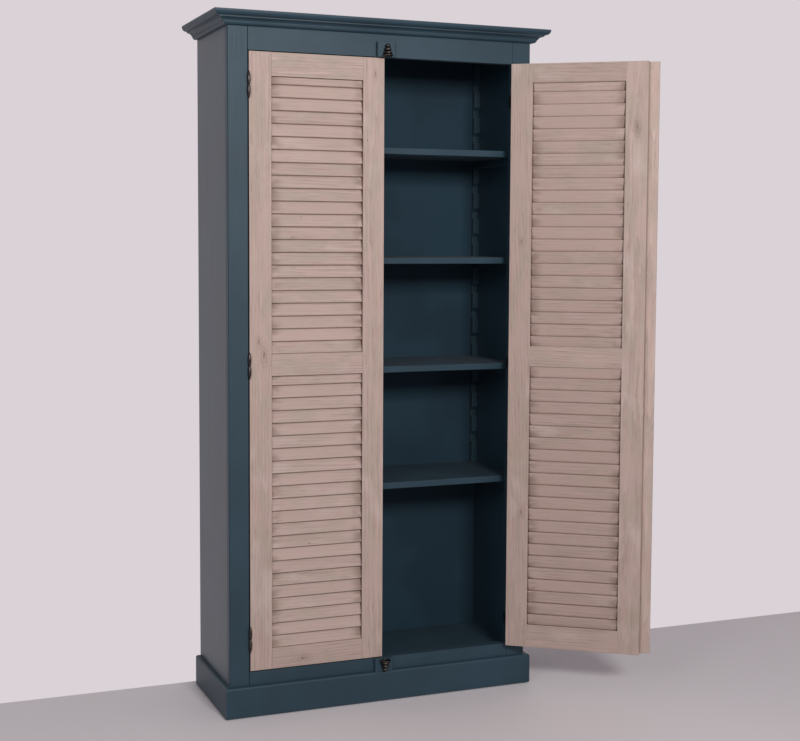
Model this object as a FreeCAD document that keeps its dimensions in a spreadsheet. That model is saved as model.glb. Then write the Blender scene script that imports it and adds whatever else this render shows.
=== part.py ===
import FreeCAD, Part
import math
import os
import re

import Sketcher
from FreeCAD import Placement, Rotation, Vector

# Louvred door cabinet: a painted linen cupboard with two inset louvred doors and a cremone bolt.
# Millimetres. X runs to the right, Y to the back, Z up. The origin lies on the floor, at the middle
# of the width and in the plane of the face frame's front.

SIZES = {
    # carcass
    "carcass_width": 890,
    "carcass_depth": 328,
    "overall_height": 1900,
    "side_thickness": 20,
    "panel_thickness": 18,
    "back_thickness": 8,
    "back_rebate": 10,
    "back_recess": 10,
    # face frame
    "frame_thickness": 24,
    "frame_stile_width": 56,
    "frame_top_rail_height": 62,
    "frame_bottom_rail_height": 37,
    "frame_arris": 2,
    # plinth and glides
    "plinth_height": 86,
    "plinth_projection": 14,
    "plinth_board": 28,
    "plinth_round": 6,
    "plinth_back_board": 20,
    "glide_height": 3,
    "glide_width": 18,
    "glide_back_inset": 10,
    # cornice
    "cornice_height": 36,
    "cornice_projection": 44,
    "cornice_seat": 24,
    "cornice_top_fillet": 3,
    "cornice_ovolo": 12,
    "cornice_step": 2,
    "cornice_fillet": 3.5,
    "cornice_cove_radius": 16,
    "cornice_quirk": 1.5,
    "cornice_bead": 8,
    "cornice_bead_start": 6,
    "cornice_board": 8,
    # doors
    "door_thickness": 22,
    "door_gap": 2.5,
    "door_meeting_gap": 3,
    "door_stile_width": 62,
    "door_top_rail": 63,
    "door_mid_rail": 58,
    "door_bottom_rail": 56,
    "mid_rail_height": 807.5,
    "rail_bevel": 10,
    "door_arris": 0.8,
    "right_door_open": 143.5,
    # mortise and tenon
    "tenon_thickness": 8,
    "tenon_length": 30,
    "tenon_shoulder": 10,
    # slats
    "slat_pitch": 34.5,
    "slat_thickness": 6,
    "slat_angle": 15,
    "slat_setback": 3.1,
    "slat_nose": 1.5,
    "slat_housing": 8,
    "slat_fit": 0.2,
    # hinges
    "hinge_inset": 88,
    "hinge_axis_proud": 5,
    "hinge_pin_radius": 1.8,
    "hinge_pin_reach": 26,
    "hinge_running_fit": 0.05,
    "hinge_knuckle_radius": 4,
    "hinge_knuckle_length": 31,
    "hinge_joint_gap": 0.4,
    "hinge_wall": 0.8,
    "hinge_leaf_thickness": 2,
    "hinge_leaf_depth": 19,
    # cover strip, keeper blocks and keepers
    "strip_width": 54,
    "strip_thickness": 14,
    "strip_bevel": 3,
    "strip_relief": 0.5,
    "top_block_height": 40,
    "keeper_lip": 1.5,
    "keeper_flange_radius": 15.5,
    "keeper_flange_height": 4,
    "keeper_tier_radius": 12,
    "keeper_tier_step": 2.6,
    "keeper_tier_height": 9.5,
    "keeper_bore_depth": 22,
    "keeper_fit": 0.6,
    # cremone bolt
    "rod_radius": 4.5,
    "rod_standoff": 8,
    "rod_fit": 0.3,
    "rod_gap_at_spindle": 28,
    "case_width": 36,
    "case_height": 120,
    "case_depth": 20,
    "spindle_radius": 5,
    "spindle_depth": 6,
    "spindle_fit": 0.05,
    "knob_collar_radius": 9,
    "knob_collar_length": 4,
    "knob_neck_radius": 5.5,
    "knob_neck_length": 12,
    "knob_half_length": 21,
    "knob_half_depth": 12,
    "knob_thickness": 10,
    "knob_play": 0.3,
    "guide_height": 14,
    "guide_half_width": 20,
    "guide_plate": 2.5,
    "guide_wall": 3.5,
    "guide_bevel": 4,
    "guide_end_inset": 70,
    # shelves and their racks
    "shelf_thickness": 18,
    "shelf_front": 30,
    "shelf_play": 1,
    "shelf_arris": 1.5,
    "fixed_shelf_top": 615,
    "batten_width": 20,
    "batten_height": 22,
    "rack_width": 18,
    "rack_depth": 16,
    "rack_pitch": 76.5,
    "rack_first_ledge": 64,
    "rack_notch_depth": 9,
    "rack_notch_slope": 12,
    "cleat_height": 20,
    "cleat_play": 0.3,
    # door stop, bumpers and catch
    "stop_overlap": 12,
    "stop_end": 10,
    "stop_thickness": 18,
    "bumper_width": 8,
    "bumper_clearance": 0.3,
    "bumper_spread": 340,
    "bumper_inset": 30,
    "catch_width": 40,
    "catch_depth": 17,
    "catch_height": 14,
    "catch_inset": 20,
    "strike_thickness": 1.2,
    "strike_margin": 3,
    "catch_clearance": 0.3,
}

# How many notches up from the lowest each lift-out shelf hangs.
SHELF_NOTCHES = {"lower_shelf": 3, "middle_shelf": 7, "upper_shelf": 11}
KEEPER_TIERS = 3
HINGES_PER_DOOR = 3

# Places worked out from the sizes. All heights are above the floor.
CARCASS_TOP = "(overall_height - cornice_height)"
HALF_WIDTH = "(carcass_width / 2)"
SIDE_INNER = "(carcass_width / 2 - side_thickness)"
BACK_FRONT = "(carcass_depth - back_recess - back_thickness)"
OPENING_SIDE = "(carcass_width / 2 - frame_stile_width)"
OPENING_TOP = f"({CARCASS_TOP} - frame_top_rail_height)"
OPENING_BOTTOM = "(plinth_height + frame_bottom_rail_height)"
LEAF_TOP = f"({OPENING_TOP} - door_gap)"
LEAF_BOTTOM = f"({OPENING_BOTTOM} + door_gap)"
LEAF_HINGE_EDGE = f"({OPENING_SIDE} - door_gap)"
LEAF_MEETING_EDGE = "(door_meeting_gap / 2)"
PANEL_OUTER = f"({LEAF_HINGE_EDGE} - door_stile_width)"
PANEL_INNER = f"({LEAF_MEETING_EDGE} + door_stile_width)"
MID_RAIL_BOTTOM = f"({LEAF_BOTTOM} + mid_rail_height)"
MID_RAIL_TOP = f"({MID_RAIL_BOTTOM} + door_mid_rail)"
HINGE_AXIS_X = f"({OPENING_SIDE} - door_gap / 2)"
HINGE_SPACING = f"(({LEAF_TOP} - {LEAF_BOTTOM} - 2 * hinge_inset) / {HINGES_PER_DOOR - 1})"
ROD_Y = "(strip_thickness + rod_standoff)"
SPINDLE_Z = f"({MID_RAIL_BOTTOM} + door_mid_rail / 2)"
RACK_INNER = f"({SIDE_INNER} - rack_width)"
RACK_TOP = f"({CARCASS_TOP} - panel_thickness)"
STOP_BOTTOM = f"({OPENING_TOP} - stop_overlap)"

DOC = FreeCAD.newDocument("LouvredDoorCabinet")
SUB_PARTS = []


# ---- sheet and formulas -------------------------------------------------------------------------

def fill_sheet():
    """Write each driving size into the sheet, one row per size, with its name as the alias."""
    sheet = DOC.addObject("Spreadsheet::Sheet", "Sizes")
    for row, (name, size) in enumerate(SIZES.items(), start=1):
        sheet.set(f"A{row}", name)
        sheet.set(f"B{row}", str(size))
        sheet.setAlias(f"B{row}", name)
    DOC.recompute()
    return sheet


def formula(text):
    """Turn a formula of size names into the document's own form, with each name read from the sheet."""
    return re.sub(r"[a-z_]+", lambda word: f"Sizes.{word[0]}" if word[0] in SIZES else word[0], text)


def value(text):
    """Work out a formula of size names as a number."""
    result = SHEET.evalExpression(formula(text))
    return float(getattr(result, "Value", result))


def bind(item, prop, text):
    """Bind one property of a document object to a formula of size names."""
    item.setExpression(prop, formula(text))


def keep(item, label):
    """Give a finished sub-part its label and list it for writing."""
    item.Label = label
    SUB_PARTS.append(item)
    return item


def mirrored(side, text):
    """A distance from the middle plane, on the left (-1) or the right (1)."""
    return f"{side} * ({text})"


# ---- construction -------------------------------------------------------------------------------

def board(name, corner, size):
    """A rectangular board from its low X, Y, Z corner and its X, Y, Z sizes."""
    box = DOC.addObject("Part::Box", name)
    for prop, text in zip(("Length", "Width", "Height"), size):
        bind(box, prop, text)
    for axis, text in zip("xyz", corner):
        bind(box, f"Placement.Base.{axis}", text)
    return box


def sided_board(name, side, inner, width, corner_yz, size_yz):
    """A board between two distances from the middle plane, on the left (-1) or the right (1)."""
    start = inner if side > 0 else f"-({inner}) - ({width})"
    return board(name, (start, *corner_yz), (width, *size_yz))


def group(name, pieces):
    """Several like solids that share one sub-part."""
    compound = DOC.addObject("Part::Compound", name)
    compound.Links = pieces
    return compound


def new_body(name):
    return DOC.addObject("PartDesign::Body", name)


def origin_feature(body, role):
    return next(item for item in body.Origin.OriginFeatures if item.Role == role)


def sketch_on(body, plane, offset=("0", "0", "0")):
    """A sketch on one of the body's origin planes, moved along the sketch's own x, y and normal."""
    sketch = body.newObject("Sketcher::SketchObject", f"{body.Name}_sketch")
    sketch.AttachmentSupport = (origin_feature(body, plane), [""])
    sketch.MapMode = "FlatFace"
    for axis, text in zip("xyz", offset):
        bind(sketch, f"AttachmentOffset.Base.{axis}", text)
    return sketch


def arc_between(start, end, radius, turn):
    """The short arc from start to end, turning left (1) or right (-1)."""
    chord = end - start
    half = chord.Length / 2
    across = Vector(-chord.y, chord.x, 0).normalize() * turn
    centre = (start + end) * 0.5 + across * math.sqrt(max(radius ** 2 - half ** 2, 0))
    first, last = (start, end) if turn > 0 else (end, start)
    angles = [math.atan2(spot.y - centre.y, spot.x - centre.x) for spot in (first, last)]
    return Part.ArcOfCircle(Part.Circle(centre, Vector(0, 0, 1), radius), *angles)


def draw(sketch, corners):
    """Draw a closed outline through corners, each pinned to its two formulas.

    A corner is (x, y), reached by a straight line, or (x, y, radius, turn), reached by an arc.
    """
    spots = [Vector(value(corner[0]), value(corner[1]), 0) for corner in corners]
    joints = []
    for index, corner in enumerate(corners):
        start, end = spots[index - 1], spots[index]
        if len(corner) == 2:
            edge = sketch.addGeometry(Part.LineSegment(start, end), False)
            joints.append((edge, 1, 2))
            continue
        radius, turn = corner[2], corner[3]
        edge = sketch.addGeometry(arc_between(start, end, value(radius), turn), False)
        joints.append((edge, 1, 2) if turn > 0 else (edge, 2, 1))
        size = sketch.addConstraint(Sketcher.Constraint("Radius", edge, value(radius)))
        bind(sketch, f"Constraints[{size}]", radius)
    for index, corner in enumerate(corners):
        edge, _, tail = joints[index]
        next_edge, head, _ = joints[(index + 1) % len(corners)]
        sketch.addConstraint(Sketcher.Constraint("Coincident", edge, tail, next_edge, head))
        for kind, text, at in (("DistanceX", corner[0], spots[index].x), ("DistanceY", corner[1], spots[index].y)):
            pin = sketch.addConstraint(Sketcher.Constraint(kind, -1, 1, edge, tail, at))
            bind(sketch, f"Constraints[{pin}]", text)


def draw_circle(sketch, x, y, radius):
    """A circle with its centre and radius pinned to formulas."""
    centre = Vector(value(x), value(y), 0)
    edge = sketch.addGeometry(Part.Circle(centre, Vector(0, 0, 1), value(radius)), False)
    pins = (("DistanceX", x, centre.x), ("DistanceY", y, centre.y))
    for kind, text, at in pins:
        pin = sketch.addConstraint(Sketcher.Constraint(kind, -1, 1, edge, 3, at))
        bind(sketch, f"Constraints[{pin}]", text)
    size = sketch.addConstraint(Sketcher.Constraint("Radius", edge, value(radius)))
    bind(sketch, f"Constraints[{size}]", radius)


def rectangle(x_low, x_high, y_low, y_high):
    return [(x_low, y_low), (x_high, y_low), (x_high, y_high), (x_low, y_high)]


def round_ended(half_width, half_height):
    """An upright outline about the sketch's origin, with straight sides and half-round ends."""
    shoulder = f"({half_height} - {half_width})"
    return [
        (half_width, shoulder),
        ("0", half_height, half_width, 1),
        (f"-{half_width}", shoulder, half_width, 1),
        (f"-{half_width}", f"-{shoulder}"),
        ("0", f"-{half_height}", half_width, 1),
        (half_width, f"-{shoulder}", half_width, 1),
    ]


def feature(body, kind, sketch, **settings):
    """Add a sketch-based feature to a body and set its plain settings."""
    item = body.newObject(f"PartDesign::{kind}", f"{body.Name}_{kind.lower()}")
    item.Profile = sketch
    for prop, setting in settings.items():
        setattr(item, prop, setting)
    return item


def pad(body, sketch, length):
    item = feature(body, "Pad", sketch)
    bind(item, "Length", length)
    return item


def cut_through(body, sketch):
    """Cut the sketch's outline through the whole body, both ways."""
    return feature(body, "Pocket", sketch, Type="ThroughAll", Midplane=True)


def revolve(body, sketch, axis="V_Axis"):
    return feature(body, "Revolution", sketch, ReferenceAxis=(sketch, [axis]), Angle=360)


def repeat(body, features, axis_role, spacing, count):
    """Repeat features along an axis of the body at a fixed spacing."""
    pattern = body.newObject("PartDesign::LinearPattern", f"{body.Name}_pattern")
    pattern.Originals = features
    pattern.Direction = (origin_feature(body, axis_role), [""])
    pattern.Mode = "Spacing"
    bind(pattern, "Offset", spacing)
    bind(pattern, "Occurrences", count)
    body.Tip = pattern
    return pattern


def bevel_edges(body, width, wanted):
    """Bevel each edge of the body that the test picks."""
    DOC.recompute()
    tip = body.Tip
    names = [f"Edge{number}" for number, edge in enumerate(tip.Shape.Edges, start=1) if wanted(edge)]
    item = body.newObject("PartDesign::Chamfer", f"{body.Name}_bevel")
    item.Base = (tip, names)
    bind(item, "Size", width)
    return item


def lies_at(edge, axis, place):
    """Whether both ends of an edge lie at one place along an axis, x, y or z."""
    return all(abs(getattr(vertex.Point, axis) - place) < 1e-4 for vertex in edge.Vertexes)


def subtract(name, blank, tools):
    """The blank with the shape of each mating piece cut out of it."""
    cut = DOC.addObject("Part::Cut", name)
    cut.Base = blank
    cut.Tool = group(f"{name}_tools", tools)
    return cut


# ---- carcass ------------------------------------------------------------------------------------

def side_panel(label, side):
    """A side panel, rebated at the back for the back panel."""
    body = new_body(label)
    sketch = sketch_on(body, "XY_Plane", ("0", "0", "plinth_height"))
    outline = [
        (SIDE_INNER, "frame_thickness"),
        (HALF_WIDTH, "frame_thickness"),
        (HALF_WIDTH, "carcass_depth"),
        (f"{SIDE_INNER} + back_rebate", "carcass_depth"),
        (f"{SIDE_INNER} + back_rebate", BACK_FRONT),
        (SIDE_INNER, BACK_FRONT),
    ]
    draw(sketch, [(mirrored(side, x), y) for x, y in outline])
    pad(body, sketch, f"{CARCASS_TOP} - plinth_height")
    keep(body, label)


def carcass_panels():
    """Top, bottom and back panels."""
    inside = (f"2 * {SIDE_INNER}", f"{BACK_FRONT} - frame_thickness", "panel_thickness")
    keep(board("top_panel", (f"-{SIDE_INNER}", "frame_thickness", RACK_TOP), inside), "top_panel")
    keep(board("bottom_panel", (f"-{SIDE_INNER}", "frame_thickness", "plinth_height"), inside), "bottom_panel")
    corner = (f"-{SIDE_INNER} - back_rebate", BACK_FRONT, "plinth_height")
    size = (f"2 * ({SIDE_INNER} + back_rebate)", "back_thickness", f"{CARCASS_TOP} - plinth_height")
    keep(board("back_panel", corner, size), "back_panel")


def rail(label, x_low, x_high, z_low, height, thickness, low_rise="0", high_rise="0"):
    """A framed rail with a tenon at each end; its edges rise towards the back by the given amounts."""
    body = new_body(label)
    sketch = sketch_on(body, "YZ_Plane", ("0", "0", x_low))
    draw(sketch, [
        ("0", z_low),
        (thickness, f"{z_low} + {low_rise}"),
        (thickness, f"{z_low} + {height} + {high_rise}"),
        ("0", f"{z_low} + {height}"),
    ])
    pad(body, sketch, f"{x_high} - {x_low}")
    tenon = sketch_on(body, "YZ_Plane", ("0", "0", f"{x_low} - tenon_length"))
    cheek = f"({thickness} - tenon_thickness) / 2"
    bottom = f"{z_low} + tenon_shoulder"
    draw(tenon, rectangle(cheek, f"{cheek} + tenon_thickness", bottom, f"{z_low} + {height} - tenon_shoulder"))
    pad(body, tenon, f"{x_high} - {x_low} + 2 * tenon_length")
    return keep(body, label)


def stile(label, x_low, x_high, z_low, height, thickness, arris, tools):
    """A framed stile with its front arrises eased, mortised for what meets it."""
    body = new_body(f"{label}_blank")
    sketch = sketch_on(body, "XY_Plane", ("0", "0", z_low))
    draw(sketch, [
        (x_low, thickness),
        (x_low, arris),
        (f"{x_low} + {arris}", "0"),
        (f"{x_high} - {arris}", "0"),
        (x_high, arris),
        (x_high, thickness),
    ])
    pad(body, sketch, height)
    return keep(subtract(label, body, tools), label)


def face_frame():
    """The frame round the door opening: two full-height stiles with the rails tenoned between them."""
    rails = [
        rail("frame_top_rail", f"-{OPENING_SIDE}", OPENING_SIDE, OPENING_TOP, "frame_top_rail_height",
             "frame_thickness"),
        rail("frame_bottom_rail", f"-{OPENING_SIDE}", OPENING_SIDE, "plinth_height",
             "frame_bottom_rail_height", "frame_thickness"),
    ]
    height = f"{CARCASS_TOP} - plinth_height"
    stile("left_frame_stile", f"-{HALF_WIDTH}", f"-{OPENING_SIDE}", "plinth_height", height,
          "frame_thickness", "frame_arris", rails)
    stile("right_frame_stile", OPENING_SIDE, HALF_WIDTH, "plinth_height", height,
          "frame_thickness", "frame_arris", rails)


# ---- mouldings ----------------------------------------------------------------------------------

def moulding(prefix, section, projection, seat):
    """A mitred moulding round the front and both sides of the carcass.

    The section is a list of corners (outward, up), counted from the carcass faces and the floor.
    It reaches out by projection and in by seat, which set the mitre.
    """
    front = new_body(f"{prefix}_front")
    sketch = sketch_on(front, "YZ_Plane", ("0", "0", f"-({HALF_WIDTH} + {projection})"))
    draw(sketch, [(f"-({out})", up, *turned(arc, -1)) for out, up, *arc in section])
    pad(front, sketch, f"2 * ({HALF_WIDTH} + {projection})")
    mitre = sketch_on(front, "XY_Plane")
    for side in (-1, 1):
        outer = mirrored(side, f"{HALF_WIDTH} + {projection}")
        inner = mirrored(side, f"{HALF_WIDTH} - {seat}")
        draw(mitre, [(outer, f"-{projection}"), (outer, seat), (inner, seat)])
    cut_through(front, mitre)
    keep(front, f"{prefix}_front")
    for side, name in ((-1, "left"), (1, "right")):
        moulding_return(f"{prefix}_{name}", section, projection, seat, side)


def moulding_return(label, section, projection, seat, side):
    """The moulding along one side of the carcass, mitred at the front."""
    body = new_body(label)
    sketch = sketch_on(body, "XZ_Plane", ("0", "0", "-carcass_depth"))
    draw(sketch, [(mirrored(side, f"{HALF_WIDTH} + {out}"), up, *turned(arc, side)) for out, up, *arc in section])
    pad(body, sketch, f"carcass_depth + {projection}")
    mitre = sketch_on(body, "XY_Plane")
    outer = mirrored(side, f"{HALF_WIDTH} + {projection}")
    inner = mirrored(side, f"{HALF_WIDTH} - {seat}")
    draw(mitre, [(outer, f"-{projection}"), (inner, f"-{projection}"), (inner, seat)])
    cut_through(body, mitre)
    keep(body, label)


def turned(arc, hand):
    """An arc's radius and turn, with the turn reversed where the section is mirrored."""
    return (arc[0], arc[1] * hand) if arc else ()


def cornice():
    """The cornice: bead, cove, fillet and ovolo under a top fillet, and the board let into it."""
    def up(text):
        return f"{CARCASS_TOP} + {text}"

    bead_out = "cornice_bead_start + cornice_bead"
    ovolo_out = "cornice_projection - cornice_ovolo"
    ovolo_up = "cornice_height - cornice_top_fillet"
    section = [
        ("-cornice_seat", up("0")),
        ("cornice_bead_start", up("0")),
        (bead_out, up("cornice_bead"), "cornice_bead", 1),
        (f"{bead_out} + cornice_step", up("cornice_bead")),
        (f"{bead_out} + cornice_step", up("cornice_bead + cornice_quirk")),
        (f"{ovolo_out} - cornice_step", up(f"{ovolo_up} - cornice_ovolo - cornice_fillet"), "cornice_cove_radius", -1),
        (f"{ovolo_out} - cornice_step", up(f"{ovolo_up} - cornice_ovolo")),
        (ovolo_out, up(f"{ovolo_up} - cornice_ovolo")),
        ("cornice_projection", up(ovolo_up), "cornice_ovolo", 1),
        ("cornice_projection", up("cornice_height")),
        ("cornice_board - cornice_seat", up("cornice_height")),
        ("cornice_board - cornice_seat", up("cornice_height - cornice_board")),
        ("-cornice_seat", up("cornice_height - cornice_board")),
    ]
    moulding("cornice", section, "cornice_projection", "cornice_seat")
    edge = f"({HALF_WIDTH} - cornice_seat + cornice_board)"
    front = "(cornice_seat - cornice_board)"
    corner = (f"-{edge}", front, "overall_height - cornice_board")
    size = (f"2 * {edge}", f"carcass_depth - {front}", "cornice_board")
    keep(board("cornice_top_board", corner, size), "cornice_top_board")


def plinth():
    """The plinth the carcass stands on: boards with a rounded top edge, on nylon glides."""
    seat = "(plinth_board - plinth_projection)"
    section = [
        (f"-{seat}", "glide_height"),
        ("plinth_projection", "glide_height"),
        ("plinth_projection", "plinth_height - plinth_round"),
        ("plinth_projection - plinth_round", "plinth_height", "plinth_round", 1),
        (f"-{seat}", "plinth_height"),
    ]
    moulding("plinth", section, "plinth_projection", seat)
    edge = f"({HALF_WIDTH} - {seat})"
    corner = (f"-{edge}", "carcass_depth - plinth_back_board", "glide_height")
    size = (f"2 * {edge}", "plinth_back_board", "plinth_height - glide_height")
    keep(board("plinth_back", corner, size), "plinth_back")


def floor_glides():
    """Six square glides: under the corners and the middle of the front and back boards."""
    half = "glide_width / 2"
    glides = [
        board("glide", (f"{x} - {half}", f"{y} - {half}", "0"), ("glide_width", "glide_width", "glide_height"))
        for x in (f"-{HALF_WIDTH}", "0", HALF_WIDTH)
        for y in ("0", "carcass_depth - glide_back_inset")
    ]
    keep(group("floor_glides", glides), "floor_glides")


# ---- shelves ------------------------------------------------------------------------------------

def shelf(label, top, play, notch_back=True):
    """A shelf notched round the front racks and, unless they stand on it, round the back ones."""
    edge = f"({SIDE_INNER} - {play})"
    back = f"({BACK_FRONT} - {play})"
    notch = f"({edge} - rack_width)"
    front_notch = "(frame_thickness + rack_depth + shelf_play)"
    half = [(notch, "shelf_front"), (notch, front_notch), (edge, front_notch)]
    if notch_back:
        half += [(edge, f"{back} - rack_depth"), (notch, f"{back} - rack_depth"), (notch, back)]
    else:
        half += [(edge, back)]
    body = new_body(label)
    sketch = sketch_on(body, "XY_Plane", ("0", "0", f"{top} - shelf_thickness"))
    draw(sketch, half + [(f"-({x})", y) for x, y in reversed(half)])
    pad(body, sketch, "shelf_thickness")
    front = value("shelf_front")
    longest = value(notch)
    bevel_edges(body, "shelf_arris", lambda edge: lies_at(edge, "y", front) and edge.Length > longest)
    return keep(body, label)


def shelf_ledge(notches):
    """The height of a rack's ledge, counted up from the lowest notch."""
    return f"(fixed_shelf_top + rack_first_ledge + {notches} * rack_pitch)"


def shelves():
    """The fixed shelf on its battens and three lift-out shelves on cleats that hang in the racks."""
    shelf("fixed_shelf", "fixed_shelf_top", "0", notch_back=False)
    for label, notches in SHELF_NOTCHES.items():
        shelf(label, f"{shelf_ledge(notches)} + cleat_height + shelf_thickness", "shelf_play")
    battens = []
    cleats = []
    notch_front = "(frame_thickness + rack_depth - rack_notch_depth + cleat_play)"
    notch_rear = f"({BACK_FRONT} - rack_depth + rack_notch_depth - cleat_play)"
    for side in (-1, 1):
        battens.append(sided_board(
            "batten", side, f"{SIDE_INNER} - batten_width", "batten_width",
            ("frame_thickness", "fixed_shelf_top - shelf_thickness - batten_height"),
            (f"{BACK_FRONT} - frame_thickness", "batten_height")))
        for notches in SHELF_NOTCHES.values():
            cleats.append(sided_board(
                "cleat", side, RACK_INNER, "rack_width", (notch_front, shelf_ledge(notches)),
                (f"{notch_rear} - {notch_front}", "cleat_height")))
    keep(group("fixed_shelf_battens", battens), "fixed_shelf_battens")
    keep(group("shelf_cleats", cleats), "shelf_cleats")


def rack(name, side, y_face, into, z_low):
    """A notched batten. y_face is its notched face and into (1 or -1) the way the notches cut in Y."""
    body = new_body(name)
    x_low = RACK_INNER if side > 0 else f"-{SIDE_INNER}"
    sketch = sketch_on(body, "YZ_Plane", ("0", "0", x_low))
    back_face = f"{y_face} + {into} * rack_depth"
    draw(sketch, [(y_face, z_low), (back_face, z_low), (back_face, RACK_TOP), (y_face, RACK_TOP)])
    pad(body, sketch, "rack_width")
    notch = sketch_on(body, "YZ_Plane", ("0", "0", x_low))
    ledge = shelf_ledge(0)
    deep = f"{y_face} + {into} * rack_notch_depth"
    draw(notch, [
        (y_face, ledge),
        (deep, ledge),
        (deep, f"{ledge} + cleat_height"),
        (y_face, f"{ledge} + cleat_height + rack_notch_slope"),
    ])
    notch_cut = cut_through(body, notch)
    room = f"{RACK_TOP} - {ledge} - cleat_height - rack_notch_slope"
    repeat(body, [notch_cut], "Z_Axis", "rack_pitch", f"floor(({room}) / rack_pitch) + 1")
    return body


def racks():
    """Front racks stand on the fixed shelf's battens behind the frame, back racks on the fixed shelf."""
    front_face = "(frame_thickness + rack_depth)"
    back_face = f"({BACK_FRONT} - rack_depth)"
    front = [rack("front_rack", side, front_face, -1, "(fixed_shelf_top - shelf_thickness)") for side in (-1, 1)]
    back = [rack("back_rack", side, back_face, 1, "fixed_shelf_top") for side in (-1, 1)]
    keep(group("front_shelf_racks", front), "front_shelf_racks")
    keep(group("back_shelf_racks", back), "back_shelf_racks")


# ---- louvred doors ------------------------------------------------------------------------------

def slat_bank(name, x_low, x_high, z_low, z_high, grow, nose):
    """A bank of overlapping slats, low edge to the front, trimmed along the bevelled rails.

    grow widens the section all round, for the housings; nose is the bevel of the slats' front arris.
    """
    sine, cosine = "sin(slat_angle * 1 deg)", "cos(slat_angle * 1 deg)"
    width = f"((door_thickness - 2 * slat_setback - slat_thickness * {cosine}) / {sine})"
    base = f"({z_low} + slat_fit + slat_thickness * {sine})"

    def at(along, through):
        y = f"slat_setback + ({along}) * {sine} + ({through}) * {cosine}"
        z = f"{base} + ({along}) * {cosine} - ({through}) * {sine}"
        return y, z

    low, far = f"-{grow}", f"{width} + {grow}"
    near, deep = f"-{grow}", f"slat_thickness + {grow}"
    outline = [at(far, near), at(far, deep), at(low, deep)]
    outline += [at(low, f"{near} + {nose}"), at(f"{low} + {nose}", near)] if nose else [at(low, near)]
    body = new_body(name)
    sketch = sketch_on(body, "YZ_Plane", ("0", "0", x_low))
    draw(sketch, outline)
    slat = pad(body, sketch, f"{x_high} - {x_low}")
    count = f"ceil(({z_high} - {z_low} - slat_thickness) / slat_pitch)"
    repeat(body, [slat], "Z_Axis", "slat_pitch", count)
    trim = sketch_on(body, "YZ_Plane", ("0", "0", x_low))
    for edge, away in ((f"{z_low} + slat_fit - {grow}", f"-{width}"), (f"{z_high} - slat_fit + {grow}", width)):
        draw(trim, [
            ("0", edge),
            ("door_thickness", f"{edge} + rail_bevel"),
            ("door_thickness", f"{edge} + 2 * {away}"),
            ("0", f"{edge} + 2 * {away}"),
        ])
    cut_through(body, trim)
    return body


def door_leaf(name, side):
    """One louvred leaf: stiles, three tenoned rails and two banks of slats housed in the stiles.

    Returns the pieces that are placed to swing the leaf; a stile follows its blank and what is cut from it.
    """
    def span(inner, outer):
        return (f"({inner})", f"({outer})") if side > 0 else (f"(-({outer}))", f"(-({inner}))")

    rails = []
    heights = (
        ("top_rail", f"({LEAF_TOP} - door_top_rail)", "door_top_rail", ("rail_bevel", "0")),
        ("mid_rail", MID_RAIL_BOTTOM, "door_mid_rail", ("rail_bevel", "rail_bevel")),
        ("bottom_rail", LEAF_BOTTOM, "door_bottom_rail", ("0", "rail_bevel")),
    )
    x_low, x_high = span(PANEL_INNER, PANEL_OUTER)
    for part, z_low, height, rises in heights:
        rails.append(rail(f"{name}_{part}", x_low, x_high, z_low, height, "door_thickness", *rises))
    banks = (
        ("upper_slats", MID_RAIL_TOP, f"({LEAF_TOP} - door_top_rail)"),
        ("lower_slats", f"({LEAF_BOTTOM} + door_bottom_rail)", MID_RAIL_BOTTOM),
    )
    housings = []
    slats = []
    for part, z_low, z_high in banks:
        ends = span(f"{PANEL_INNER} - slat_housing", f"{PANEL_OUTER} + slat_housing")
        slats.append(keep(slat_bank(f"{name}_{part}", *ends, z_low, z_high, "0", "slat_nose"), f"{name}_{part}"))
        ends = span(f"{PANEL_INNER} - slat_housing - slat_fit", f"{PANEL_OUTER} + slat_housing + slat_fit")
        housings.append(slat_bank(f"{name}_{part}_housings", *ends, z_low, z_high, "slat_fit", None))
    stiles = []
    edges = (
        ("hinge_stile", PANEL_OUTER, LEAF_HINGE_EDGE),
        ("meeting_stile", LEAF_MEETING_EDGE, PANEL_INNER),
    )
    for part, inner, outer in edges:
        stiles.append(stile(f"{name}_{part}", *span(inner, outer), LEAF_BOTTOM,
                            f"{LEAF_TOP} - {LEAF_BOTTOM}", "door_thickness", "door_arris", rails + housings))
    return rails + slats + housings + [piece.Base for piece in stiles]


# ---- hinges -------------------------------------------------------------------------------------

def hinge_half(label, side, up, leaf_low, middle):
    """Three hinge halves on one pin line: a round knuckle and its leaf.

    up is 1 for the upper half, on the door, and -1 for the lower half, on the frame. leaf_low is the
    leaf's side nearer the middle plane, and middle the knuckle's outline along the pin line.
    """
    body = new_body(label)
    z_mid = f"({LEAF_BOTTOM} + hinge_inset)"
    sketch = sketch_on(body, "XZ_Plane", (mirrored(side, HINGE_AXIS_X), z_mid, "hinge_axis_proud"))
    start = "hinge_joint_gap / 2"
    corners = [
        *middle,
        ("hinge_knuckle_radius", start),
        ("hinge_knuckle_radius", "hinge_knuckle_length"),
        ("0", "hinge_knuckle_length"),
    ]
    draw(sketch, [(x, f"{up} * ({z})") for x, z in corners])
    knuckle = revolve(body, sketch)
    plate_low = f"{z_mid} + {start}" if up > 0 else f"{z_mid} - hinge_knuckle_length"
    plate = sketch_on(body, "XY_Plane", ("0", "0", plate_low))
    y_low = "-hinge_axis_proud + hinge_pin_radius + hinge_wall"
    draw(plate, rectangle(mirrored(side, leaf_low), mirrored(side, f"{leaf_low} + hinge_leaf_thickness"),
                          y_low, "hinge_leaf_depth"))
    leaf = pad(body, plate, f"hinge_knuckle_length - {start}")
    repeat(body, [knuckle, leaf], "Z_Axis", HINGE_SPACING, str(HINGES_PER_DOOR))
    return keep(body, label)


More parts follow.
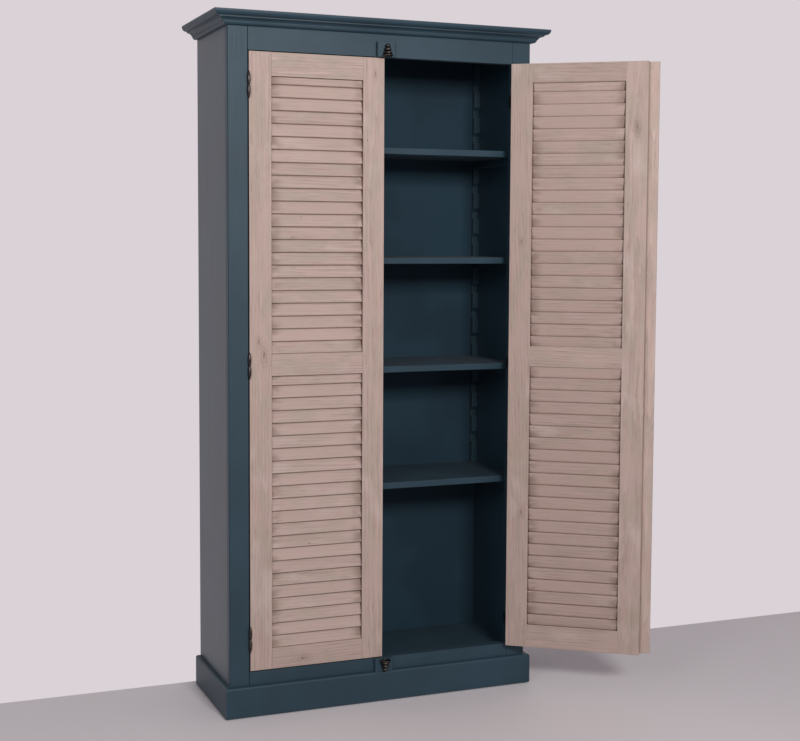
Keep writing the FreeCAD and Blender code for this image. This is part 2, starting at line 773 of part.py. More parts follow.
def hinges(name, side):
    """The hinge halves of one door; returns those that swing with it.

    The frame's half carries the pin, and the door's half drops over it.
    """
    start = "hinge_joint_gap / 2"
    pin = [("0", "-hinge_pin_reach"), ("hinge_pin_radius", "-hinge_pin_reach"), ("hinge_pin_radius", start)]
    hinge_half(f"{name}_frame_hinge_leaves", side, -1, f"({OPENING_SIDE} - hinge_leaf_thickness)", pin)
    bore_radius = "hinge_pin_radius + hinge_running_fit"
    bore_end = "hinge_pin_reach + hinge_joint_gap"
    bore = [("0", bore_end), (bore_radius, bore_end), (bore_radius, start)]
    return [hinge_half(f"{name}_door_hinge_leaves", side, 1, LEAF_HINGE_EDGE, bore)]


# ---- cover strip, keepers and cremone bolt --------------------------------------------------------

def strip_section(relief_edge):
    """The cover strip's section, seen from above; relief_edge is where its back clears the other leaf."""
    half = "(strip_width / 2)"
    front = "-strip_thickness"
    section = [
        (half, "0"),
        (f"-{half}", "0"),
        (f"-{half}", f"{front} + strip_bevel"),
        (f"-{half} + strip_bevel", front),
        (f"{half} - strip_bevel", front),
        (half, f"{front} + strip_bevel"),
    ]
    if relief_edge:
        section[1:2] = [(relief_edge, "0"), (relief_edge, "-strip_relief"), (f"-{half}", "-strip_relief")]
    return section


def strip_piece(label, z_low, height, relief_edge=None):
    """A length of cover strip, for the right door or packing out a keeper."""
    body = new_body(label)
    sketch = sketch_on(body, "XY_Plane", ("0", "0", z_low))
    draw(sketch, strip_section(relief_edge))
    pad(body, sketch, height)
    return keep(body, label)


def keeper(name, mouth, up):
    """A tiered keeper that takes the tip of a rod, turned and then cut flat against its block."""
    body = new_body(name)
    sketch = sketch_on(body, "XZ_Plane", ("0", mouth, ROD_Y))
    bore = "rod_radius + keeper_fit"
    corners = [
        (bore, "0"),
        ("keeper_flange_radius", "0"),
        ("keeper_flange_radius", "keeper_flange_height"),
    ]
    for tier in range(KEEPER_TIERS):
        rim = f"keeper_tier_radius - {tier} * keeper_tier_step"
        foot = f"keeper_flange_height + {tier} * keeper_tier_height"
        top = f"{foot} + keeper_tier_height"
        corners += [(rim, foot), (rim, top)]
    corners += [
        ("0", top),
        ("0", "keeper_bore_depth"),
        (bore, "keeper_bore_depth"),
    ]
    draw(sketch, [(x, f"{up} * ({z})") for x, z in corners])
    revolve(body, sketch)
    flat = sketch_on(body, "XY_Plane")
    draw(flat, rectangle("-strip_width", "strip_width", "-strip_thickness", "strip_width"))
    cut_through(body, flat)
    return body


def keepers():
    """The blocks on the top and bottom rails, as thick as the cover strip, and their keepers."""
    strip_piece("top_keeper_block", OPENING_TOP, "top_block_height")
    strip_piece("bottom_keeper_block", "plinth_height", "frame_bottom_rail_height")
    pair = [
        keeper("top_keeper", f"{OPENING_TOP} + keeper_lip", 1),
        keeper("bottom_keeper", f"{OPENING_BOTTOM} - keeper_lip", -1),
    ]
    keep(group("rod_keepers", pair), "rod_keepers")


def cremone_case():
    """The bolt's case: a long box with round ends, with a bore for the rods and one for the spindle."""
    body = new_body("cremone_case")
    sketch = sketch_on(body, "XZ_Plane", ("0", SPINDLE_Z, "strip_thickness"))
    draw(sketch, round_ended("(case_width / 2)", "(case_height / 2)"))
    pad(body, sketch, "case_depth")
    channel = sketch_on(body, "XY_Plane")
    draw_circle(channel, "0", f"-{ROD_Y}", "rod_radius + rod_fit")
    cut_through(body, channel)
    bore = sketch_on(body, "XZ_Plane", ("0", SPINDLE_Z, "strip_thickness + case_depth"))
    draw_circle(bore, "0", "0", "spindle_radius + spindle_fit")
    hole = feature(body, "Pocket", bore)
    bind(hole, "Length", "spindle_depth + knob_play")
    return keep(body, "cremone_case")


def cremone_knob():
    """The knob: a spindle and collar turned on a line square to the door, with a flat, round-ended grip."""
    body = new_body("cremone_knob")
    face = "(strip_thickness + case_depth)"
    stem = sketch_on(body, "YZ_Plane", (f"-{face}", SPINDLE_Z, "0"))
    collar = "(knob_play + knob_collar_length)"
    neck = f"({collar} + knob_neck_length)"
    draw(stem, [
        ("spindle_depth", "0"),
        ("spindle_depth", "spindle_radius"),
        ("-knob_play", "spindle_radius"),
        ("-knob_play", "knob_collar_radius"),
        (f"-{collar}", "knob_collar_radius"),
        (f"-{collar}", "knob_neck_radius"),
        (f"-{neck}", "knob_neck_radius"),
        (f"-{neck}", "0"),
    ])
    revolve(body, stem, "H_Axis")
    grip = sketch_on(body, "YZ_Plane", (f"-{face} - {neck}", SPINDLE_Z, "-knob_thickness / 2"))
    draw(grip, round_ended("knob_half_depth", "knob_half_length"))
    pad(body, grip, "knob_thickness")
    return keep(body, "cremone_knob")


def rod(label, z_low, z_high):
    """A round rod on the cover strip's middle line."""
    body = new_body(label)
    sketch = sketch_on(body, "XY_Plane", ("0", "0", z_low))
    draw_circle(sketch, "0", f"-{ROD_Y}", "rod_radius")
    pad(body, sketch, f"{z_high} - {z_low}")
    return keep(body, label)


def rod_guides():
    """The saddles that hold the rods to the cover strip near their outer ends."""
    hoop = "(rod_radius + rod_fit + guide_wall)"
    plate = "-strip_thickness - guide_plate"
    crown = f"-{ROD_Y} - {hoop}"
    saddles = []
    for middle in (f"{LEAF_TOP} - guide_end_inset", f"{LEAF_BOTTOM} + guide_end_inset"):
        body = new_body("guide")
        sketch = sketch_on(body, "XY_Plane", ("0", "0", f"{middle} - guide_height / 2"))
        draw(sketch, [
            ("guide_half_width", "-strip_thickness"),
            ("-guide_half_width", "-strip_thickness"),
            ("-guide_half_width", plate),
            (f"-{hoop}", plate),
            (f"-{hoop}", f"{crown} + guide_bevel"),
            (f"-{hoop} + guide_bevel", crown),
            (f"{hoop} - guide_bevel", crown),
            (hoop, f"{crown} + guide_bevel"),
            (hoop, plate),
            ("guide_half_width", plate),
        ])
        draw_circle(sketch, "0", f"-{ROD_Y}", "rod_radius + rod_fit")
        pad(body, sketch, "guide_height")
        saddles.append(body)
    return keep(group("rod_guides", saddles), "rod_guides")


def cremone():
    """The bolt on the right door, with its rods drawn in."""
    spindle_gap = "rod_gap_at_spindle / 2"
    return [
        cremone_case(),
        cremone_knob(),
        rod("upper_rod", f"({SPINDLE_Z} + {spindle_gap})", LEAF_TOP),
        rod("lower_rod", LEAF_BOTTOM, f"({SPINDLE_Z} - {spindle_gap})"),
        rod_guides(),
    ]


# ---- door stop and catch ------------------------------------------------------------------------

def door_stop():
    """The batten that the left door shuts against, with its soft bumpers.

    The right door needs none: its cover strip shuts against the left door.
    """
    corner = (f"-{RACK_INNER}", "frame_thickness", STOP_BOTTOM)
    size = (f"{RACK_INNER} - stop_end", "stop_thickness", f"{RACK_TOP} - {STOP_BOTTOM}")
    keep(board("door_stop_batten", corner, size), "door_stop_batten")
    pad_size = ("bumper_width", "frame_thickness - door_thickness - bumper_clearance", "bumper_width")
    bumpers = [
        board("bumper", (f"-{x} - bumper_width / 2", "door_thickness + bumper_clearance", STOP_BOTTOM), pad_size)
        for x in ("bumper_inset", "bumper_spread")
    ]
    keep(group("door_bumpers", bumpers), "door_bumpers")


def door_catch():
    """The magnetic catch under the stop batten and its strike plate on the left door."""
    strike_back = "(door_thickness + strike_thickness)"
    body = board("left_door_catch",
                 ("-catch_inset - catch_width", f"{strike_back} + catch_clearance", f"{STOP_BOTTOM} - catch_height"),
                 ("catch_width", "catch_depth", "catch_height"))
    keep(body, "left_door_catch")
    plate = board("catch_strike",
                  ("-catch_inset - catch_width + strike_margin", "door_thickness",
                   f"{STOP_BOTTOM} - catch_height + strike_margin"),
                  ("catch_width - 2 * strike_margin", "strike_thickness", "catch_height - strike_margin"))
    keep(plate, "catch_strike")


# ---- assembly -----------------------------------------------------------------------------------

def swing_open(items, angle):
    """Turn the right door's pieces about its hinge line, from shut to the given angle."""
    axis_x, axis_y = HINGE_AXIS_X, "(-hinge_axis_proud)"
    turn = f"({angle} * 1 deg)"
    for item in items:
        item.Placement = Placement(Vector(), Rotation(Vector(0, 0, 1), 1))
        bind(item, "Placement.Rotation.Angle", angle)
        bind(item, "Placement.Base.x", f"{axis_x} - ({axis_x} * cos({turn}) - {axis_y} * sin({turn}))")
        bind(item, "Placement.Base.y", f"{axis_y} - ({axis_x} * sin({turn}) + {axis_y} * cos({turn}))")


def check_document():
    """Stop if any object failed or any sub-part is not a sound solid."""
    for item in DOC.Objects:
        if {"Invalid", "Error"} & set(item.State):
            raise RuntimeError(f"{item.Label} failed: {item.State}")
    for item in SUB_PARTS:
        if item.Shape.isNull() or not item.Shape.isValid() or not item.Shape.Solids:
            raise RuntimeError(f"{item.Label} has no sound solid")


def write_parts():
    os.makedirs("parts", exist_ok=True)
    for item in SUB_PARTS:
        item.Shape.exportStep(f"parts/{item.Label}.step")


SHEET = fill_sheet()

side_panel("left_side_panel", -1)
side_panel("right_side_panel", 1)
carcass_panels()
face_frame()
cornice()
plinth()
floor_glides()
shelves()
racks()
door_stop()
door_catch()
keepers()
door_leaf("left_door", -1)
hinges("left", -1)
swinging = door_leaf("right_door", 1) + hinges("right", 1) + cremone()
swinging.append(strip_piece("astragal", LEAF_BOTTOM, f"{LEAF_TOP} - {LEAF_BOTTOM}", LEAF_MEETING_EDGE))
swing_open(swinging, "right_door_open")
DOC.recompute()
check_document()
write_parts()
print(f"{len(SUB_PARTS)} sub-parts written")
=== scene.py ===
"""Looks of the louvred door cabinet: paint, washed oak, bronze hardware, and the studio round it."""

import logging
import math
from dataclasses import dataclass, field, replace
from enum import Enum
from typing import Mapping, Sequence

import bmesh
import bpy
import numpy as np
from bpy.types import ID, Material, Mesh, Node, NodeSocket, NodeTree, Object
from mathutils import Matrix, Vector


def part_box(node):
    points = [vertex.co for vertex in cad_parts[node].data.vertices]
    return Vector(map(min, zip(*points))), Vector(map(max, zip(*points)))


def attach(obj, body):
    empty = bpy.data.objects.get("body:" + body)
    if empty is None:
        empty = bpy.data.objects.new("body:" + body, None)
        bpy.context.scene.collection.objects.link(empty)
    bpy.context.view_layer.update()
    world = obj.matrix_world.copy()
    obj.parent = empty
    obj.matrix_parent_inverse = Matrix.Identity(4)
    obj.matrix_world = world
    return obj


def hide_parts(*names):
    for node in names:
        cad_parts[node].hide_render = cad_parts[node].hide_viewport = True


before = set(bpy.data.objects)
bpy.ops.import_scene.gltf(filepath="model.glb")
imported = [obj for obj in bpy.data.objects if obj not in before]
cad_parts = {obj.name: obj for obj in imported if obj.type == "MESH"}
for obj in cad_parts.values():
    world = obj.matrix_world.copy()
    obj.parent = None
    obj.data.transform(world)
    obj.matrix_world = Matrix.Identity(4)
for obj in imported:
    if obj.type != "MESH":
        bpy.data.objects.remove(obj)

MM = 0.001
SWING_DEG = 143.5
HINGE_LINE = (0.38775, -0.005)

Pair = tuple[float, float]
Triple = tuple[float, float, float]
Inputs = Mapping[int | str, object]
Points = np.ndarray

log = logging.getLogger("cabinet")


# ---- colour, nodes and meshes ----

def linear(code: str) -> tuple[float, float, float, float]:
    """Turn an sRGB hex colour into linear light.

    Args:
        code: The colour as "#rrggbb".

    Returns:
        Linear red, green and blue, and an alpha of 1.
    """
    share = np.array([int(code[start:start + 2], 16) for start in (1, 3, 5)]) / 255
    light = np.where(share <= 0.04045, share / 12.92, ((share + 0.055) / 1.055) ** 2.4)
    return (*light.tolist(), 1.0)


def add_node(tree: NodeTree, kind: str, inputs: Inputs | None = None, **settings: object) -> Node:
    """Add a node, set its properties, and fill or link its inputs.

    Args:
        tree: The node tree to add to.
        kind: Blender's name for the node type.
        inputs: For each input, by name or number, a value or the socket to link to it.
        **settings: Properties of the node.

    Returns:
        The new node.
    """
    node = tree.nodes.new(kind)
    for name, setting in settings.items():
        setattr(node, name, setting)
    for name, given in (inputs or {}).items():
        if isinstance(given, NodeSocket):
            tree.links.new(given, node.inputs[name])
        else:
            node.inputs[name].default_value = given
    return node


def grid_faces(rows: int, columns: int) -> np.ndarray:
    """Quads, as rows of four point numbers, over a grid of points whose columns close on themselves."""
    grid = np.arange(rows * columns).reshape(rows, columns)
    return np.stack([grid[:-1], np.roll(grid[:-1], -1, 1), np.roll(grid[1:], -1, 1), grid[1:]], axis=-1).reshape(-1, 4)


def turned(profile: Points, segments: int) -> Points:
    """Turn a profile of radius r and height h about Z: each row goes round to (r cos t, r sin t, h)."""
    angle = np.linspace(0, 2 * math.pi, segments, endpoint=False)
    return np.stack([profile[:, :1] * np.cos(angle), profile[:, :1] * np.sin(angle), profile[:, 1:] + 0 * angle], -1)


def half_round(radius: float, height: float, foot: float = 0.0, steps: int = 9) -> Points:
    """The profile of a disc with a half-round edge: rows of radius and height, from its foot up."""
    turn, half = np.linspace(-math.pi / 2, math.pi / 2, steps), height / 2
    return np.stack([radius - half + half * np.cos(turn), foot + half + half * np.sin(turn)], axis=1)


def domed(radius: float, rise: float, sunk: float, rings: int) -> Points:
    """The profile of a head domed by rise times (1 - (r / radius) squared), and of its flat foot, sunk below."""
    reach = np.linspace(0, radius, rings)
    return np.array([*zip(reach, rise * (1 - (reach / radius) ** 2)), (radius, -sunk), (0, -sunk)])


def rounded_box(size: Sequence[float], corner: float, segments: int = 24) -> Points:
    """The outline of a rounded rectangle, anticlockwise about the origin.

    Each point is its direction's corner centre plus the corner radius times that direction.

    Args:
        size: Width and height.
        corner: The corners' radius.
        segments: Points round the outline.

    Returns:
        One row of two coordinates for each point.
    """
    angle = (np.arange(segments) + 0.5) * 2 * math.pi / segments
    way = np.stack([np.cos(angle), np.sin(angle)], axis=1)
    return np.sign(way) * (np.asarray(size) / 2 - corner) + corner * way


def slab(outline: Points, thickness: float, ease: float, steps: int = 3) -> Points:
    """A flat plate with its edges eased, between z = 0 and z = thickness.

    At height h within the ease of either face, the outline moves inwards by the ease less
    the half-width there of a circle of that radius.

    Args:
        outline: The plate's outline, one row of two coordinates for each point.
        thickness: The plate's thickness.
        ease: The radius of its eased edges.
        steps: Rows round each eased edge.

    Returns:
        The grid of points, with its poles in the middle of the faces.
    """
    along = np.roll(outline, -1, axis=0) - np.roll(outline, 1, axis=0)
    outward = np.stack([along[:, 1], -along[:, 0]], axis=1) / np.linalg.norm(along, axis=1)[:, None]
    turn = np.linspace(0, math.pi / 2, steps)
    inset, lift = ease * (1 - np.sin(turn)), ease * (1 - np.cos(turn))
    rings = outline - np.concatenate([inset, inset[::-1]])[:, None, None] * outward
    middle = np.broadcast_to(outline.mean(axis=0), (1, *outline.shape))
    flat = np.concatenate([middle, rings, middle])
    levels = np.concatenate([[0], lift, thickness - lift[::-1], [thickness]])
    return np.concatenate([flat, np.broadcast_to(levels[:, None, None], (*flat.shape[:2], 1))], axis=-1)


def stand(name: str, data: ID) -> Object:
    """Put data in the scene as an object.

    Args:
        name: The object's name.
        data: A mesh, a light or a camera.

    Returns:
        The new object.
    """
    item = bpy.data.objects.new(name, data)
    bpy.context.scene.collection.objects.link(item)
    return item


def close_poles(mesh: Mesh, weld: float = 0.001 * MM, sharp_deg: float = 35) -> None:
    """Merge points that coincide, point the faces outwards and shade smooth but for sharp edges.

    Args:
        mesh: The mesh to mend.
        weld: How near points coincide.
        sharp_deg: How far faces turn over an edge that stays sharp.
    """
    work = bmesh.new()
    work.from_mesh(mesh)
    bmesh.ops.remove_doubles(work, verts=work.verts, dist=weld)
    bmesh.ops.dissolve_degenerate(work, edges=work.edges, dist=weld)
    bmesh.ops.recalc_face_normals(work, faces=work.faces)
    work.to_mesh(mesh)
    work.free()
    mesh.shade_smooth()
    mesh.set_sharp_from_angle(angle=math.radians(sharp_deg))


def make_piece(name: str, copies: Sequence[tuple[Points, Sequence[Matrix]]], finish: Material, body: str) -> Object:
    """Make one object of copies of closed surfaces, and let it ride on a body.

    Args:
        name: The piece's name.
        copies: Surfaces, as grids of points whose columns go round and whose first and last rows are
            poles, each with the places it is copied to.
        finish: The material.
        body: The body it rides on.

    Returns:
        The new object.
    """
    points, faces, start = [], [], 0
    for surface, places in copies:
        rows, columns = surface.shape[:2]
        moves = np.array([[list(line) for line in place] for place in places])
        moved = np.einsum("kij,nj->kni", moves[:, :3, :3], surface.reshape(-1, 3)) + moves[:, None, :3, 3]
        points.append(moved.reshape(-1, 3))
        starts = start + np.arange(len(places))[:, None, None] * rows * columns
        faces.append((grid_faces(rows, columns)[None] + starts).reshape(-1, 4))
        start += len(places) * rows * columns
    mesh = bpy.data.meshes.new(name)
    mesh.from_pydata(np.concatenate(points).tolist(), [], np.concatenate(faces).tolist())
    mesh.materials.append(finish)
    piece = stand(name, mesh)
    close_poles(mesh)
    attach(piece, body)
    return piece


def dress(node: str, finish: Material) -> None:
    """Give a CAD node its finish.

    Args:
        node: The node's name.
        finish: The material.
    """
    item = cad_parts[node]
    if not item.material_slots:
        item.data.materials.append(finish)
    for place in item.material_slots:
        place.material = finish


def swung(point: Vector) -> Matrix:
    """Move a thing from the origin to a point on the shut right door, and swing it open with the door."""
    line = Matrix.Translation((*HINGE_LINE, 0))
    return line @ Matrix.Rotation(math.radians(SWING_DEG), 4, "Z") @ line.inverted() @ Matrix.Translation(point)


# ---- how finishes are mixed ----

class Grain(Enum):
    """Which way a board's grain runs on the shut door or the carcass, as the turn that stands it upright."""

    UPRIGHT = (0.0, 0.0, 0.0)
    LEVEL = (0.0, math.pi / 2, 0.0)
    DEEP = (math.pi / 2, 0.0, 0.0)


@dataclass(frozen=True)
class Layer:
    """A colour laid over others: none of it where a pattern is low, its full share where it is high."""

    colour: str
    low: float
    high: float
    share: float = 1.0


@dataclass(frozen=True)
class Noise:
    """Noise from 0 to 1: its size across and along Z, its octaves, how far it wavers and how harsh it is."""

    width: float
    length: float
    octaves: float
    waver: float = 0.0
    harshness: float = 0.5


class ShaderWork:
    """A material's node tree while a finish is being mixed in it."""

    bevel_samples = 4
    # The cosine of the bevel's turn of the normal, where an arris begins and where it is full.
    arris_cosines = (0.995, 0.93)

    def __init__(self, name: str) -> None:
        """Start a material with a Principled shader and its object's coordinates.

        Args:
            name: The material's name.
        """
        self.material = bpy.data.materials.new(name)
        self.material.use_nodes = True
        self.tree = self.material.node_tree
        self.surface = self.tree.nodes["Principled BSDF"]
        self.place = self.add("ShaderNodeTexCoord").outputs["Object"]

    def add(self, kind: str, inputs: Inputs | None = None, **settings: object) -> Node:
        """Add a node to this material, as add_node does."""
        return add_node(self.tree, kind, inputs, **settings)

    def reckon(self, operation: str, *given: NodeSocket | float) -> NodeSocket:
        """Work out one of Blender's operations on values."""
        return self.add("ShaderNodeMath", dict(enumerate(given)), operation=operation).outputs[0]

    def times(self, one: NodeSocket, other: NodeSocket | float) -> NodeSocket:
        """A value times another."""
        return self.reckon("MULTIPLY", one, other)

    def vector(self, operation: str, *given: NodeSocket | Sequence[float]) -> NodeSocket:
        """Work out one of Blender's operations on vectors; a dot product or a length gives a value."""
        outputs = self.add("ShaderNodeVectorMath", dict(enumerate(given)), operation=operation).outputs
        return outputs["Value" if operation in ("DOT_PRODUCT", "LENGTH") else "Vector"]

    def mapped(self, place: NodeSocket, **changes: Sequence[float]) -> NodeSocket:
        """Coordinates after a Scale, a Rotation and a Location."""
        return self.add("ShaderNodeMapping", {"Vector": place, **changes}).outputs[0]

    def noise(self, place: NodeSocket, look: Noise, output: str = "Fac") -> NodeSocket:
        """Draw noise.

        Args:
            place: The coordinates.
            look: The noise.
            output: "Fac" for a value or "Color".

        Returns:
            The socket with the noise.
        """
        return self.add("ShaderNodeTexNoise", {
            "Vector": self.mapped(place, Scale=(1 / look.width, 1 / look.width, 1 / look.length)), "Scale": 1.0,
            "Detail": look.octaves, "Roughness": look.harshness, "Distortion": look.waver,
        }).outputs[output]

    def step(self, given: NodeSocket, low: float, high: float) -> NodeSocket:
        """A smooth rise from 0, where the given value is low, to 1, where it is high."""
        span = {"Value": given, "From Min": low, "From Max": high}
        return self.add("ShaderNodeMapRange", span, interpolation_type="SMOOTHSTEP").outputs["Result"]

    def mix(self, share: NodeSocket | float, start: NodeSocket | str, end: NodeSocket | str) -> NodeSocket:
        """Mix two colours, which are sRGB hex codes or sockets, with a share of the second."""
        start, end = (linear(colour) if isinstance(colour, str) else colour for colour in (start, end))
        return self.add("ShaderNodeMix", {0: share, 6: start, 7: end}, data_type="RGBA").outputs[2]

    def lay(self, colour: NodeSocket, pattern: NodeSocket, layer: Layer) -> NodeSocket:
        """Lay a layer over a colour, where a pattern says."""
        return self.mix(self.times(self.step(pattern, layer.low, layer.high), layer.share), colour, layer.colour)

    def eased(self, radius: float, bump: NodeSocket, depth: float) -> NodeSocket:
        """Light the edges as if eased, add relief, and find the arrises.

        Args:
            radius: How far the easing reaches.
            bump: The height of the relief, from 0 to 1.
            depth: The relief's real depth.

        Returns:
            The share of arris at each place: 1 on an outer or inner edge and 0 on a flat face.
        """
        bevel = self.add("ShaderNodeBevel", {"Radius": radius}, samples=self.bevel_samples).outputs[0]
        relief = self.add("ShaderNodeBump", {"Height": bump, "Distance": depth, "Normal": bevel})
        self.tree.links.new(relief.outputs[0], self.surface.inputs["Normal"])
        flat = self.add("ShaderNodeNewGeometry").outputs["Normal"]
        return self.step(self.vector("DOT_PRODUCT", bevel, flat), *self.arris_cosines)

    def finish(self, colour: NodeSocket, pattern: NodeSocket, roughness: Pair, others: Inputs) -> Material:
        """Fill in the shader.

        Args:
            colour: The finish's colour.
            pattern: What the roughness follows.
            roughness: The roughness where that is 0 and where it is 1.
            others: Values of the shader's other inputs, by name.

        Returns:
            The finished material.
        """
        low, high = roughness
        rough = self.add("ShaderNodeMapRange", {"Value": pattern, "To Min": low, "To Max": high})
        self.tree.links.new(colour, self.surface.inputs["Base Color"])
        self.tree.links.new(rough.outputs[0], self.surface.inputs["Roughness"])
        for name, given in others.items():
            self.surface.inputs[name].default_value = given
        return self.material


# ---- finishes ----

@dataclass(frozen=True)
class Knot:
    """A knot at a place on a shut door: faint rings about a dark eye, longer along the grain than across."""

    x: float
    z: float
    radius: float
    across: float = 1.1
    along: float = 0.5
    bend: float = 1.3
    bends: Noise = Noise(1.25, 1.25, 3.0)
    ring_pace: float = 9.0
    ring_share: float = 0.2
    ring_fade: Pair = (2.4, 0.4)
    eye_fade: Pair = (0.7, 0.1)
    eye_share: float = 0.75


@dataclass(frozen=True)
class SlatBank:
    """How the slats of one bank lie, and the strides that give each its own piece of wood."""

    base: float
    pitch: float = 34.5 * MM
    tilt: float = math.radians(15)
    setback: float = 3.1 * MM
    margin: float = 7.5 * MM
    number_stride: float = 0.731
    seed_stride: float = 0.37


@dataclass(frozen=True)
class Board:
    """What one board's finish depends on.

    Its name is its node and its seed picks its piece of wood. Its door stands open by swing_deg at
    rest. Joints show at its shoulders, which are distances from the middle plane on the shut door,
    and tone_and_shade is how much of the pores' brown it has all over: its own tone on some boards, painted shade on
    others.
    """

    name: str
    grain: Grain
    swing_deg: float
    seed: int
    shoulders: Sequence[float] = ()
    knots: Sequence[Knot] = ()
    bank: SlatBank | None = None
    tone_and_shade: float = 0.0


@dataclass(frozen=True)
class WashedOak:
    """Brushed oak under a whitewash worked back to a pale cloudy film, with painted shade in its corners and a painted
    highlight on its arrises.
    """

    early: str = "#ceb5ab"
    late: str = "#b29b91"
    pore: str = "#84695d"
    # Dark joint lines, and painted shade on the hinge edge inside its gap.
    joint_and_gap_shade: str = "#64483e"
    weathered: Layer = Layer("#b9a99b", 0.42, 0.62, 0.68)
    wash: Layer = Layer("#d8c6bd", 0.56, 0.74, 0.5)
    plain: Layer = Layer("#c8afa5", 0.52, 0.34, 0.6)
    plain_slat: Layer = Layer("#c8afa5", 0.2, 0.9, 0.6)
    dark_slat: Layer = Layer("#b29b91", 0.4, 1.0, 0.18)
    # Painted shade: brown where ambient occlusion finds surfaces close by, in corners, under the slats and in the gaps
    # beside the frame.
    corner: Layer = Layer("#64483e", 0.92, 0.42, 0.92)
    # Paler arrises: partly the wash, partly a painted highlight along the edges.
    arris: Layer = Layer("#d8c6bd", 0.0, 1.15)
    clouds: Noise = Noise(32 * MM, 85 * MM, 2.0, 0.0, 0.55)
    patches: Noise = Noise(96 * MM, 170 * MM, 3.0, 0.0, 0.55)
    streaks: Noise = Noise(9 * MM, 210 * MM, 3.0, 0.9, 0.55)
    # Oak's pores are a quarter of a millimetre wide; they are drawn as wide as shows.
    fibres: Noise = Noise(1.4 * MM, 55 * MM, 2.0, 0.5, 0.55)
    streak_band: Pair = (0.28, 0.74)
    streak_weight: float = 0.5
    fibre_band: Pair = (0.6, 0.9)
    fibre_share: float = 0.42
    ring_spacing: float = 9 * MM
    ring_shortening: float = 0.09
    ring_waver: float = 8.0
    ring_weight: float = 0.4
    ring_crowding: float = 0.2
    pit_spacing: float = 75 * MM
    pit_shortening: float = 0.6
    pit_edge: Pair = (2.88 * MM, 0.9 * MM)
    slat_apart: Triple = (1.7, 0.06, 0.1)
    log_lean_deg: float = 1.6
    log_half_length: float = 3.0
    pith_aside: float = 0.05
    pith_depth: Pair = (0.045, 0.05)
    # A shoulder's joint is a hairline; it is drawn as wide as shows.
    joint_edge: Pair = (0.5 * MM, 0.1 * MM)
    joint_shares: Triple = (0.9, 0.2, 0.6)
    end_reach: float = 38 * MM
    end_clouds: Pair = (0.42, 0.6)
    end_share: float = 0.6
    corner_shade_reach: float = 5.5 * MM
    corner_shade_samples: int = 8
    ease: float = 1.4 * MM
    relief: float = 0.15 * MM
    roughness: Pair = (0.6, 0.78)
    index: float = 1.48


